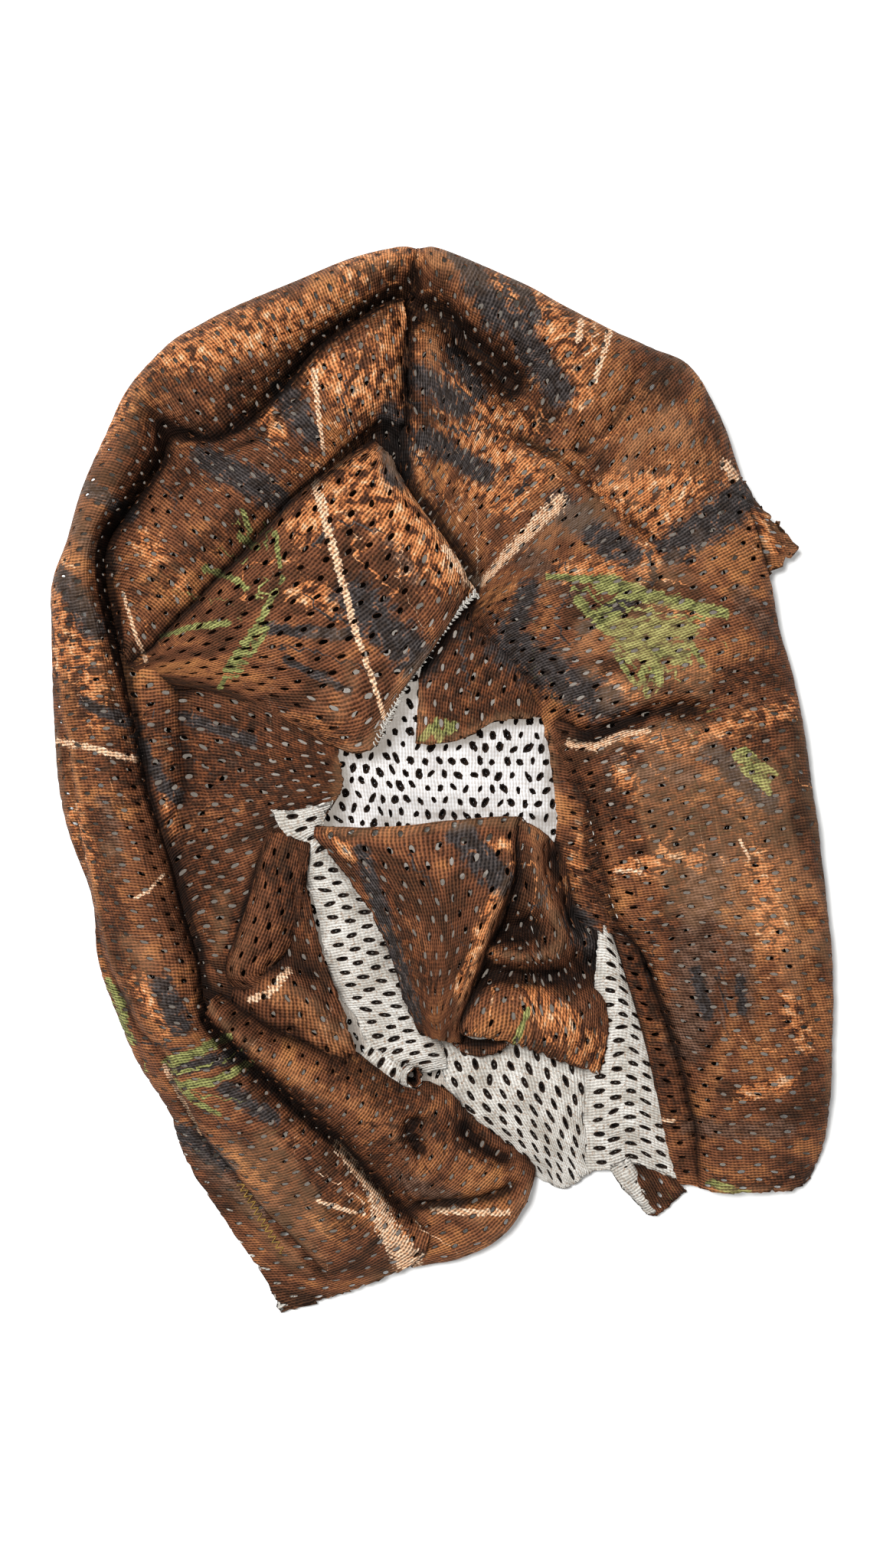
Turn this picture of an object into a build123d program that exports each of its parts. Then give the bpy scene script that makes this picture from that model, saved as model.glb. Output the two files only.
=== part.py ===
"""A camouflage mesh face mask lying on its back, face up, crown towards +Y and neck towards -Y.

Every cut cloth panel and every seam thread is a closed solid of its own. The hood is a low dome with
thin walls, open at the neck and at the eyes. The loose brow flap and the face cover turn up about
their fold lines.
"""
from build123d import *
import math
import os

# Driving dimensions, in millimetres.
CLOTH = 1.4  # wall that stands for one layer of knitted mesh
GAP = 0.4  # clearance between neighbouring layers
BACK_THICKNESS = 0.8
RIM_HEIGHT = 25.0  # top of the rolled rim
FACING_HEIGHT = 19.0  # underside of the stitched facing beside the eye opening
HEM_HEIGHT = 16.0  # underside of the right panel's hem
POCKET_FLOOR = 3.6  # top of the white neck layers
POCKET_ROOF = 12.0  # underside of the lowest front layer
COVER_HEIGHT = 14.2  # underside of the face cover
FLAP_HEIGHT = 17.0  # underside of the brow flap
TAB_HEIGHT = 6.0  # underside of the loose tab on the right side
STRIP_THICKNESS = 0.8  # pressed white neck strips
THREAD = 0.6
THREAD_LIFT = 0.1  # clearance between a thread and the cloth below it
SEAM_THREAD_WIDTH = 0.9
OVERLOCK_WIDTH = 1.2
DASH_LENGTH = 3.2
DASH_WIDTH = 0.8
DASH_STEP = 5.0
ZIGZAG_STEP = 2.6
ZIGZAG_WIDTH = 2.4
ZIGZAG_THREAD_WIDTH = 0.7
HEM_WIDTH = 3.4
HEM_SIDE = 4.0  # from the hem's line to the edge of the panel beside it
FACING_WIDTH = 4.0
PLEAT_RADIUS = 4.5

# The dome's levels: height, and how far its outline is drawn in there.
DOME_LEVELS = [(BACK_THICKNESS + GAP, 4.0), (7.0, 0.0), (15.0, 0.5), (21.0, 4.0), (RIM_HEIGHT, 11.0)]

# Outline of the hood: the round crown and sides as one curve, then the edges of the neck.
CROWN_AND_SIDES = [
    (112, -134.5), (123, -127), (126.6, -110), (127.6, -77), (124, -25), (118, 10), (112, 41),
    (107, 68), (99, 94),
    (93, 112), (82, 133), (57, 147), (35, 159), (15, 169), (-8, 175.5), (-29, 171), (-72, 155),
    (-103, 128), (-119, 92), (-127.5, 56), (-124, 14), (-115, -28), (-108, -58), (-97, -84),
    (-84, -110), (-70, -133), (-52, -158), (-42, -166),
]
NECK_EDGE = [(-42, -166), (-8, -157), (15, -153), (28, -136), (40, -132), (70, -134), (112, -134.5)]

# Inner borders of the big panels, from the crown down.
SEAM_TOP = (-8, 172)
SEAM_FOOT = (-10, 104)
SEAM_GAP = 0.6  # between the two crown panels
CAPE_TOP = -46  # where the left panel ends and the neck cape begins
LEFT_INNER_EDGE = [(-27, 122), (-107, 42), (-104, 26), (-98, 4), (-91, -19), (-84, -44)]
RIGHT_INNER_EDGE = [
    (2, 80), (14, 62), (18, 48), (27, 38), (35, 26), (41, 13), (44, 0), (48, -16), (56, -34),
    (60, -50),
]
RIGHT_HEM_LINE = [(60, -50), (67, -78), (74, -104), (81, -129)]
CAPE_RIDGE = [(-84, -46), (-75, -72), (-54, -86), (-29, -94), (-10, -99), (3, -107), (28, -129)]
NECK_MIDDLE = (30, -150)
NECK_SIZE = (150, 70)  # of the opening cut through the wall at the neck
OUTSIDE = 200  # reach of a cutter past the mask

# Outlines of the flat panels.
BACK_OUTLINE = [
    (108, -129), (122, -120), (122, -77), (117, -20), (106, 45), (94, 95), (76, 130), (35, 153),
    (-8, 170), (-68, 150), (-98, 124), (-113, 90), (-121, 56), (-117, 10), (-108, -30), (-100, -62),
    (-80, -104), (-48, -150), (-8, -151), (12, -147), (30, -127), (40, -133), (57, -127), (80, -129),
]
BROW_FLAP = [
    (-23, 114), (-18, 108), (-5, 84), (9, 63), (12, 61), (0, 51), (-6, 39), (-13, 28), (-22, 11),
    (-25, 8), (-44, 17), (-72, 30), (-97, 33), (-100, 39),
]
INNER_BROW = [(7, 56), (1, 50), (-6, 38), (-6, 12), (8, 15), (17, 20), (36, 21), (26, 36), (17, 47)]
LEFT_CHEEK = [
    (-95, 30), (-72, 27), (-44, 14), (-34, 10), (-32.5, -1), (-34, -5), (-54, -10), (-56, -16),
    (-66, -36), (-73, -60), (-80, -48), (-88, -18), (-94, 4),
]
FACE_COVER = [
    (-40, -18), (-36, -12), (-13, -13), (10, -10), (28, -12), (37, -17), (45, -33), (51, -45),
    (52, -65), (50, -84), (4, -84), (-9, -80), (-16, -57), (-27, -36),
]
NECK_PLEATS = [(-55, -45), (-47, -28), (-41, -56), (-35, -74), (-28, -88), (-54, -81), (-71, -68)]
NECK_STRIP_LEFT = [
    (-54, -10), (-35, -5), (-40, -19), (-22, -41), (-10, -75), (3, -84), (-4, -98), (-22, -90),
    (-34, -70), (-45, -27), (-43, -22),
]
NECK_PANEL_CENTER = [
    (3, -80), (30, -85), (47, -92), (49, -126), (40, -131), (29, -127), (9, -109), (-3, -96),
]
NECK_STRIP_RIGHT = [(53, -46), (57, -52), (64, -80), (71, -104), (78, -129), (49, -126), (50, -92)]
RIGHT_TAB = [(98, 99), (116, 79), (113, 74), (108.5, 67.5), (104, 79)]
BOTTOM_CORNER = [(58, -128), (65, -138), (70, -142), (79, -135), (77, -130)]
LEFT_HEM = [
    (-125, 12), (-119, -28), (-113, -52), (-112, -62), (-101, -87), (-91, -102), (-84, -123),
    (-67, -147), (-54, -168), (-52, -175.5), (-36, -166), (-47, -155), (-50, -151), (-82, -105),
    (-102, -62), (-110, -30), (-119, 10),
]

# Seam lines.
BROW_EDGE_LINE = [(10, 59), (0, 48.5), (-7, 36), (-14, 24), (-21, 13)]
CROWN_SEAM_LINE = [SEAM_FOOT, (-9, 130), (-8, 162)]
FACING_LINE = [(41, -6), (46, -18), (52, -33), (57, -46)]
FACING_STITCH_LINE = [(x + 1.8, y + 0.8) for x, y in FACING_LINE]
ZIGZAG_LINE = [(-76, -131), (-60, -156)]
PLEAT_LINE = [(-53, -20), (-68, -60)]

parts = {}


def prism(points, low, high):
    """A straight-sided block over a closed outline."""
    outline = Polyline(*[(x, y, low) for x, y in points], close=True)
    return extrude(make_face(outline), high - low, dir=(0, 0, 1))


def inset(points, distance):
    """Each point of a closed outline, moved inward along the bisector of its two sides."""
    moved = []
    for i, (x, y) in enumerate(points):
        before = points[i - 1]
        after = points[(i + 1) % len(points)]
        along = (Vector(*after) - Vector(*before)).normalized()
        moved.append((x - along.Y * distance, y + along.X * distance))
    return moved


def dome(wall):
    """The hood's filled form, drawn in and lowered by wall all over."""
    loop = CROWN_AND_SIDES + NECK_EDGE[1:-1]
    count = len(CROWN_AND_SIDES)
    sections = []
    for height, draw_in in DOME_LEVELS:
        points = [(x, y, height - wall) for x, y in inset(loop, draw_in + wall)]
        round_side = Spline(*points[:count])
        neck = Polyline(*points[count - 1:], points[0])
        sections.append(make_face(Wire([*round_side.edges(), *neck.edges()])))
    return loft(sections, ruled=True)


def strip(line, width, low, high):
    """A band of even width along a line, to the left of its direction."""
    shifted = []
    for i, (x, y) in enumerate(line):
        before = line[max(i - 1, 0)]
        after = line[min(i + 1, len(line) - 1)]
        along = (Vector(*after) - Vector(*before)).normalized()
        shifted.append((x - along.Y * width, y + along.X * width))
    return prism(line + shifted[::-1], low, high)


def points_along(line, step):
    """Points evenly spaced along a line, with the direction of the line at each."""
    found = []
    for start, end in zip(line, line[1:]):
        run = Vector(*end) - Vector(*start)
        count = max(1, round(run.length / step))
        for k in range(count):
            spot = Vector(*start) + run * ((k + 0.5) / count)
            found.append((spot, run.normalized()))
    return found


def bar(centre, direction, length, width, low):
    """A short straight stitch lying along a direction."""
    turn = math.degrees(math.atan2(direction.Y, direction.X))
    return Pos(centre.X, centre.Y, low + THREAD / 2) * Rot(0, 0, turn) * Box(length, width, THREAD)


# The hood's walls and roof, open below and at the neck.
mouth_middle = (POCKET_FLOOR + POCKET_ROOF) / 2
neck_mouth = Pos(*NECK_MIDDLE, mouth_middle) * Box(*NECK_SIZE, POCKET_ROOF - POCKET_FLOOR)
hood = dome(0) - dome(CLOTH) - neck_mouth

left_region = [
    SEAM_TOP, (SEAM_TOP[0], OUTSIDE), (-OUTSIDE, OUTSIDE), (-OUTSIDE, CAPE_TOP),
    *LEFT_INNER_EDGE[::-1], SEAM_FOOT,
]
right_region = [
    (SEAM_TOP[0] + SEAM_GAP, OUTSIDE), (OUTSIDE, OUTSIDE), (OUTSIDE, -OUTSIDE),
    (RIGHT_HEM_LINE[-1][0] + HEM_SIDE, -OUTSIDE), *[(x + HEM_SIDE, y) for x, y in RIGHT_HEM_LINE[::-1]],
    *RIGHT_INNER_EDGE[-2::-1], (SEAM_FOOT[0] + SEAM_GAP, SEAM_FOOT[1]),
    (SEAM_TOP[0] + SEAM_GAP, SEAM_TOP[1]),
]
cape_region = [
    *CAPE_RIDGE[1:], (30, -OUTSIDE), (-OUTSIDE, -OUTSIDE), (-OUTSIDE, CAPE_TOP - GAP),
    (CAPE_RIDGE[0][0], CAPE_TOP - GAP),
]
parts["left_hood_panel"] = hood & prism(left_region, 0, 2 * RIM_HEIGHT)
parts["right_hood_panel"] = hood & prism(right_region, 0, 2 * RIM_HEIGHT)
parts["left_neck_cape"] = hood & prism(cape_region, 0, 2 * RIM_HEIGHT)

# Flat layers, from the table up.
parts["back_panel"] = prism(BACK_OUTLINE, 0, BACK_THICKNESS)
parts["neck_panel_center"] = prism(NECK_PANEL_CENTER, BACK_THICKNESS + GAP, POCKET_FLOOR - CLOTH)
strip_low = POCKET_FLOOR - STRIP_THICKNESS
parts["neck_strip_left"] = prism(NECK_STRIP_LEFT, strip_low, POCKET_FLOOR)
parts["neck_strip_right"] = prism(NECK_STRIP_RIGHT, strip_low, POCKET_FLOOR)
parts["bottom_corner"] = prism(BOTTOM_CORNER, BACK_THICKNESS + GAP, BACK_THICKNESS + GAP + CLOTH)
parts["right_tab"] = prism(RIGHT_TAB, TAB_HEIGHT, TAB_HEIGHT + CLOTH)
parts["left_cheek_panel"] = prism(LEFT_CHEEK, POCKET_ROOF, POCKET_ROOF + CLOTH)
parts["neck_pleats"] = prism(NECK_PLEATS, POCKET_ROOF, POCKET_ROOF + CLOTH)
parts["inner_brow_panel"] = prism(INNER_BROW, POCKET_ROOF, POCKET_ROOF + CLOTH)
parts["face_cover"] = prism(FACE_COVER, COVER_HEIGHT, COVER_HEIGHT + CLOTH)
parts["brow_flap"] = prism(BROW_FLAP, FLAP_HEIGHT, FLAP_HEIGHT + CLOTH)

# The hems and the facing.
parts["left_hem_strip"] = prism(LEFT_HEM, 0, BACK_THICKNESS)
parts["right_hem_strip"] = strip(RIGHT_HEM_LINE, HEM_WIDTH, HEM_HEIGHT, HEM_HEIGHT + CLOTH)
parts["right_facing"] = strip(FACING_LINE, FACING_WIDTH, FACING_HEIGHT, FACING_HEIGHT + CLOTH)

# The raised pleat on the left cheek, a soft hollow roll.
pleat_height = POCKET_ROOF + CLOTH + GAP + PLEAT_RADIUS
pleat_start, pleat_end = [Vector(x, y, pleat_height) for x, y in PLEAT_LINE]
pleat_run = pleat_end - pleat_start
pleat_plane = Plane(origin=pleat_start, z_dir=pleat_run.normalized())
from_start = (Align.CENTER, Align.CENTER, Align.MIN)
outer_roll, inner_roll = [
    pleat_plane * Cylinder(radius, pleat_run.length, align=from_start)
    for radius in (PLEAT_RADIUS, PLEAT_RADIUS - CLOTH)
]
parts["left_cheek_pleat"] = outer_roll - inner_roll


def thread(line, width, cloth_top):
    """A flat thread along a line, just clear of the cloth whose top is at cloth_top."""
    low = cloth_top + THREAD_LIFT
    return strip(line, width, low, low + THREAD)


# Threads.
parts["crown_seam_thread"] = thread(CROWN_SEAM_LINE, SEAM_THREAD_WIDTH, RIM_HEIGHT)
parts["brow_edge_thread"] = thread(BROW_EDGE_LINE, OVERLOCK_WIDTH, FLAP_HEIGHT + CLOTH)
dash_low = FACING_HEIGHT + CLOTH + THREAD_LIFT
dashes = [
    bar(spot, way, DASH_LENGTH, DASH_WIDTH, dash_low)
    for spot, way in points_along(FACING_STITCH_LINE, DASH_STEP)
]
parts["facing_stitches"] = Compound(children=dashes)
zigzag = [
    tuple(spot + Vector(-way.Y, way.X) * (ZIGZAG_WIDTH / 2 * (-1) ** turn))[:2]
    for turn, (spot, way) in enumerate(points_along(ZIGZAG_LINE, ZIGZAG_STEP))
]
parts["hem_zigzag_thread"] = thread(zigzag, ZIGZAG_THREAD_WIDTH, BACK_THICKNESS)

os.makedirs("parts", exist_ok=True)
for name, shape in parts.items():
    export_step(shape, f"parts/{name}.step")
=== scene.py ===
"""Looks of the camouflage mesh face mask.

Every panel is a sheet of knitted mesh. Its folds come from given guide lines, in millimetres in
the frame of the CAD part. The sheet is then knitted: staggered oval holes are laid out in the flat cloth
and carried onto the folded surface, so that holes and ribs keep their real size.
"""

import math

import bmesh
import bpy
import numpy as np
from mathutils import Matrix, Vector
from mathutils.bvhtree import BVHTree


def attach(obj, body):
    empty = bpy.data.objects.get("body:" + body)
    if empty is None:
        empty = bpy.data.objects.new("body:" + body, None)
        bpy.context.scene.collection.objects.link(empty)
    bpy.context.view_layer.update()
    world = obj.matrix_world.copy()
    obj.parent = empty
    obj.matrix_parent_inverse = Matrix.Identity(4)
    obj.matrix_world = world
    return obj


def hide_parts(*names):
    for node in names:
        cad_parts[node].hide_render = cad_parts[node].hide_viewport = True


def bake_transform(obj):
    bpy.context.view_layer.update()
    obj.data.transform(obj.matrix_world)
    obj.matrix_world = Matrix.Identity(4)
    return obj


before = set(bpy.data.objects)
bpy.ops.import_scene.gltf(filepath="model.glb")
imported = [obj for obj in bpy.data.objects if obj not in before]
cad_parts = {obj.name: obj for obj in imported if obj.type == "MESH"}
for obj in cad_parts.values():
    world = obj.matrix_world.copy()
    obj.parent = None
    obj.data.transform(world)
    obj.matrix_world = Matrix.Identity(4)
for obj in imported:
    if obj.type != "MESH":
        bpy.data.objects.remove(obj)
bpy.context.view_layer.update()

MM = 0.001  # the guide lines are in millimetres, the scene in metres

# The knitted mesh, in millimetres.
HOLE_SPACING = 5.3  # across the ribs
ROW_SPACING = 5.96  # along the ribs
HOLE_WIDTH = 1.3
HOLE_LENGTH = 2.9
CLOTH_THICKNESS = 0.5
SELVEDGE = 0.35  # cloth kept between a hole and a cut edge
RIM_SINK = 0.12  # how far a hole's rim lies below the face
WHITE_CLOSING = 0.8  # how far a hole of the white face closes in below, as a share
STITCH_PITCH = 0.95  # of the ribs
STITCH_LENGTH = 1.3  # of the stitches in a rib

# The limits that every mesh keeps, in millimetres.
LOWEST = 0.05  # nothing is closer to the table
WELD = 0.02  # points closer than this become one

SHAPE_STEPS = 8  # surface points between two guides
RIPPLE_WAVES = 10


# ---------------------------------------------------------------- surfaces

def spline(rows, steps):
    """A smooth curve through rows of values, with steps points to a span."""
    rows = np.asarray(rows, float)
    padded = np.concatenate([[2 * rows[0] - rows[1]], rows, [2 * rows[-1] - rows[-2]]])
    t = (np.arange(steps) / steps).reshape((-1,) + (1,) * (rows.ndim - 1))
    spans = []
    for a, b, c, d in zip(padded, padded[1:], padded[2:], padded[3:]):
        spans.append(b + 0.5 * t * (c - a + t * (2 * a - 5 * b + 4 * c - d + t * (3 * (b - c) + d - a))))
    return np.concatenate(spans + [rows[-1:]])


def surface(guides, steps=SHAPE_STEPS):
    """A grid of points on the smooth surface through the guides. All guides have as many points."""
    across = spline(guides, steps)
    return spline(across.swapaxes(0, 1), steps).swapaxes(0, 1)


def distance_to(line, x, y):
    """Distance of each point to a line of (x, y), and how far along the line it is, from 0 to 1."""
    line = np.asarray(line, float)
    lengths = np.linalg.norm(np.diff(line, axis=0), axis=1)
    starts = np.concatenate([[0], np.cumsum(lengths)])
    best = np.full(x.shape, 1e9)
    along = np.zeros(x.shape)
    for k, length in enumerate(lengths):
        way = (line[k + 1] - line[k]) / length
        t = np.clip((x - line[k, 0]) * way[0] + (y - line[k, 1]) * way[1], 0, length)
        away = np.hypot(x - line[k, 0] - t * way[0], y - line[k, 1] - t * way[1])
        nearer = away < best
        best = np.where(nearer, away, best)
        along = np.where(nearer, (starts[k] + t) / starts[-1], along)
    return best, along


def fold(grid, line, width, height, fade=0.25):
    """Raises a ridge, or with a negative height presses a valley, along a line of (x, y).

    It fades in and out over that share of the line at both ends."""
    line = spline(line, 4) if len(line) > 2 else line
    away, along = distance_to(line, grid[..., 0], grid[..., 1])
    ends = np.clip(np.minimum(along, 1 - along) / fade, 0, 1)
    ends = ends * ends * (3 - 2 * ends)
    grid[..., 2] += height * np.exp(-(away / width) ** 2) * ends
    return grid


def ripples(grid, seed, size, height):
    """Soft uneven waves of about that size, the same each run."""
    draw = np.random.default_rng(seed)
    x, y = grid[..., 0], grid[..., 1]
    total = np.zeros(x.shape)
    for _ in range(RIPPLE_WAVES):
        turn = draw.uniform(0, math.tau)
        pitch = size * draw.uniform(0.7, 1.6)
        way = x * math.cos(turn) + y * math.sin(turn)
        total += np.sin(math.tau / pitch * way + draw.uniform(0, math.tau))
    total *= height / 3
    grid[..., 2] += total
    return grid


def normals_of(grid):
    """Unit normals of a grid of points."""
    n = np.cross(np.gradient(grid, axis=0), np.gradient(grid, axis=1))
    return n / np.maximum(np.linalg.norm(n, axis=-1, keepdims=True), 1e-9)


def sweep(stations, count=14):
    """A rolled tube of cloth: stations are (x, y, z, width, thickness) along its middle."""
    line = spline(np.array(stations, float), 6)
    way = np.gradient(line[:, :3], axis=0)
    way /= np.linalg.norm(way, axis=1, keepdims=True)
    side = np.stack([way[:, 1], -way[:, 0], np.zeros(len(way))], axis=1)
    side /= np.linalg.norm(side, axis=1, keepdims=True)
    up = np.cross(side, way)
    turn = np.linspace(0, math.tau * 0.98, count)[None, :, None]
    wide, thick = line[:, None, 3:4] / 2, line[:, None, 4:5] / 2
    return line[:, None, :3] + wide * np.cos(turn) * side[:, None] + thick * np.sin(turn) * up[:, None]


# ---------------------------------------------------------------- knitting

class Cloth:
    """The flat cloth behind a surface: u across the ribs, v along them, both in millimetres."""

    def __init__(self, grid, level, facing):
        self.grid = grid
        self.normals = normals_of(grid)
        if (self.normals[..., 2].mean() < 0) == (facing > 0):
            self.normals = -self.normals
        steps = np.linalg.norm(np.diff(grid, axis=0), axis=2)
        self.u = np.concatenate([[0], np.cumsum(steps.mean(axis=1))])
        runs = np.linalg.norm(np.diff(grid, axis=1), axis=2)
        self.v = np.concatenate([np.zeros((len(grid), 1)), np.cumsum(runs, axis=1)], axis=1)
        self.v -= self.v[:, [int(level * (grid.shape[1] - 1))]]

    def clamp(self, u, v):
        """The nearest point of the cloth in its own row, with its place in the grid."""
        u = np.clip(u, 0, self.u[-1])
        s = np.clip(np.interp(u, self.u, np.arange(len(self.u))), 0, len(self.u) - 1.0001)
        i = s.astype(int)
        f = (s - i)[:, None]
        rows = self.v[i] * (1 - f) + self.v[i + 1] * f
        v = np.clip(v, rows[:, 0], rows[:, -1])
        j = np.clip((rows < v[:, None]).sum(axis=1) - 1, 0, rows.shape[1] - 2)
        pick = np.arange(len(u))
        g = (v - rows[pick, j]) / np.maximum(rows[pick, j + 1] - rows[pick, j], 1e-9)
        return u, v, (i, f, j, np.clip(g, 0, 1)[:, None])

    def at(self, values, place):
        """Values of the grid at places that clamp gave."""
        i, f, j, g = place
        near = values[i, j] * (1 - g) + values[i, j + 1] * g
        far = values[i + 1, j] * (1 - g) + values[i + 1, j + 1] * g
        return near * (1 - f) + far * f


def lattice(cloth, scale):
    """Centres of the staggered holes round the cloth, in quarter cells, and the size of a quarter cell."""
    quarter = np.array([HOLE_SPACING, ROW_SPACING]) * scale / 4
    across, along = 4 * quarter
    columns = int(cloth.u[-1] / across) + 2
    low, high = int(cloth.v.min() / along) - 1, int(cloth.v.max() / along) + 2
    b, a = np.meshgrid(np.arange(low, high), np.arange(-1, columns), indexing="ij")
    return np.stack([4 * a + 2 * (b % 2), 4 * b], axis=-1).reshape(-1, 2), quarter


# The border of a cell in quarter cells, in turn from one corner.
BORDER = np.array(
    [(-2, k) for k in (-2, -1, 0, 1)] + [(k, 2) for k in (-2, -1, 0, 1)]
    + [(2, k) for k in (2, 1, 0, -1)] + [(k, -2) for k in (2, 1, 0, -1)]
)
SIDES = len(BORDER)  # points in the border of a cell, and in the ring of its hole
ON_CLOTH = 1e-6  # a point that is moved by less than this to reach the cloth is on it


def hole_rings(middles, width, length, uneven, draw):
    """The uneven oval rings of the holes, and their middles, in the flat cloth."""
    count = len(middles)
    angle = np.arctan2(BORDER[:, 1], BORDER[:, 0])
    wide = width / 2 * draw.uniform(1 - 0.22 * uneven, 1 + 0.12 * uneven, (count, 1))
    long = length / 2 * draw.uniform(1 - 0.2 * uneven, 1 + 0.1 * uneven, (count, 1))
    lean = draw.normal(0, 0.13 * uneven, (count, 1))
    wobble = draw.normal(1, 0.05 * uneven, (count, SIDES))
    middles = middles + draw.normal(0, 0.16 * uneven, (count, 2))
    u = wide * np.cos(angle) * wobble + lean * long * np.sin(angle)
    v = long * np.sin(angle) * wobble
    return u + middles[:, :1], v + middles[:, 1:], middles


def moved_by(cloth, u, v):
    """How far each point of the flat plane is from the cloth."""
    near_u, near_v, _ = cloth.clamp(u.ravel(), v.ravel())
    return np.hypot(near_u - u.ravel(), near_v - v.ravel()).reshape(u.shape)


def cell_faces(border, is_open, corners, total):
    """The faces of both sides and of the holes' walls, with a kind each: 0 upper, 1 lower, 2 wall.

    border holds the points round each cell. The rings of the open cells start at point corners, and the
    middles of the closed ones follow them. The lower points come total later."""
    faces, kinds = [], []
    ring_start = corners + SIDES * (np.cumsum(is_open) - 1)
    fan_start = corners + SIDES * is_open.sum() + np.cumsum(~is_open) - 1
    edges = {}
    for c, loop in enumerate(border):
        for k in range(SIDES):
            a, b = loop[k], loop[(k + 1) % SIDES]
            if is_open[c]:
                p, q = ring_start[c] + k, ring_start[c] + (k + 1) % SIDES
                faces.append((a, b, q, p))
                faces.append((a + total, p + total, q + total, b + total))
                faces.append((p, q, q + total, p + total))
                kinds += [0, 1, 2]
            else:
                m = fan_start[c]
                faces.append((a, b, m))
                faces.append((a + total, m + total, b + total))
                kinds += [0, 1]
            key = (a, b) if a < b else (b, a)
            edges[key] = (edges.get(key, (0, 0))[0] + 1, (a, b))
    for times, (a, b) in edges.values():
        if times == 1:
            faces.append((b, a, a + total, b + total))
            kinds.append(2)
    return faces, kinds


def knit(name, grid, relief, level=0.5, facing=1, hole=1.0, stretch=1.0, scale=1.0, uneven=1.0, white=False,
         closing=0.1, edge_wave=0.25, seed=1):
    """A sheet of knitted mesh over a surface: two faces, and walls round its holes and its cut edge.

    level is where across the guides the cloth runs straight. hole and stretch size the holes, scale sizes
    their pattern, uneven is how much they differ, and closing is how far they close in below. white turns
    the unprinted face up. edge_wave is how rough the cut edge is."""
    cloth = Cloth(grid, level, facing)
    draw = np.random.default_rng(seed)
    cells, quarter = lattice(cloth, scale)
    border = cells[:, None, :] + BORDER[None]
    moved = moved_by(cloth, border[..., 0] * quarter[0], border[..., 1] * quarter[1])
    touching = (moved < ON_CLOTH).any(axis=1)
    cells, border = cells[touching], border[touching]
    width, length = HOLE_WIDTH * hole, HOLE_LENGTH * hole * stretch
    ring_u, ring_v, middle = hole_rings(cells * quarter, width, length, uneven, draw)
    big_u = ring_u + np.sign(ring_u - middle[:, :1]) * SELVEDGE
    big_v = ring_v + np.sign(ring_v - middle[:, 1:]) * SELVEDGE
    is_open = (moved_by(cloth, big_u, big_v) < ON_CLOTH).all(axis=1)

    # shared border points, then ring points, then the middles of cells without a hole
    keys, index = np.unique(border.reshape(-1, 2), axis=0, return_inverse=True)
    u = np.concatenate([keys[:, 0] * quarter[0], ring_u[is_open].ravel(), middle[~is_open, 0]])
    v = np.concatenate([keys[:, 1] * quarter[1], ring_v[is_open].ravel(), middle[~is_open, 1]])
    near_u, near_v, place = cloth.clamp(u, v)
    spot, normal = cloth.at(cloth.grid, place), cloth.at(cloth.normals, place)
    normal /= np.linalg.norm(normal, axis=1, keepdims=True)
    on_edge = np.hypot(near_u - u, near_v - v) > ON_CLOTH
    roughness = draw.normal(0, edge_wave, (len(u), 3)) * (1, 1, 0.4)
    spot = spot + np.where(on_edge[:, None], roughness, 0)
    is_ring = np.zeros(len(u), bool)
    is_ring[len(keys):len(keys) + SIDES * is_open.sum()] = True
    front = spot - normal * np.where(is_ring, RIM_SINK, 0)[:, None]
    back = spot - normal * CLOTH_THICKNESS
    # the yarn closes in towards the lower face, so that a hole looks darker from above
    rings = back[is_ring].reshape(-1, SIDES, 3)
    inward = rings.mean(axis=1, keepdims=True) - rings
    back[is_ring] = (rings + inward * (WHITE_CLOSING if white else closing)).reshape(-1, 3)

    faces, kinds = cell_faces(index.reshape(-1, SIDES), is_open, len(keys), len(u))
    points = np.concatenate([front, back])
    mesh = make_mesh(name, points, faces)
    mesh.polygons.foreach_set("material_index", kinds)
    write_attributes(mesh, points, np.stack([near_u, near_v], axis=1), relief.pressed(spot))
    materials = (inside_white, camo_print, dark_edge) if white else (camo_print, inside_white, cut_edge)
    for material in materials:
        mesh.materials.append(material)
    if name == "back_cloth":
        light_the_eye(mesh)
    clean(mesh)


def make_mesh(name, points, faces):
    """A smooth object of that name from points in millimetres, and its mesh."""
    points[:, 2] = np.maximum(points[:, 2], LOWEST)
    mesh = bpy.data.meshes.new(name)
    mesh.from_pydata((points * MM).tolist(), [], faces)
    mesh.polygons.foreach_set("use_smooth", [True] * len(faces))
    bpy.context.scene.collection.objects.link(bpy.data.objects.new(name, mesh))
    return mesh


def write_attributes(mesh, points, flat, press):
    """Writes the place in the flat cloth, the places on the print's strokes, and the depth among the folds,
    by which the materials paint shade into creases and highlight onto ridges.

    flat and press are given for one side of the cloth, and both sides get the same."""
    corners = np.zeros(len(mesh.loops), np.int32)
    mesh.loops.foreach_get("vertex_index", corners)
    layer = mesh.uv_layers.new(name="Fabric")
    layer.data.foreach_set("uv", np.concatenate([flat, flat])[corners].ravel().astype(np.float32))
    for name, strokes in PRINT.items():
        layer = mesh.attributes.new(name, "FLOAT_VECTOR", "POINT")
        layer.data.foreach_set("vector", brush_place(points[:, :2], strokes).ravel().astype(np.float32))
    layer = mesh.attributes.new("press", "FLOAT", "POINT")
    layer.data.foreach_set("value", np.concatenate([press, press]).astype(np.float32))


# the ellipse on the back cloth, round the eye opening, that gets the copy of the white with more painted
# light
EYE_MIDDLE = (4, 14)
EYE_REACH = (62, 44)


def light_the_eye(mesh):
    """Paints light on the back cloth: a brighter, more glowing copy of its white where it lies open in the
    eye opening, a dimmer one elsewhere.
    """
    mesh.materials[0] = dim_white
    mesh.materials.append(lit_eye_white)
    for face in mesh.polygons:
        x = (face.center.x / MM - EYE_MIDDLE[0]) / EYE_REACH[0]
        y = (face.center.y / MM - EYE_MIDDLE[1]) / EYE_REACH[1]
        if face.material_index == 0 and x * x + y * y < 1:
            face.material_index = 3


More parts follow.
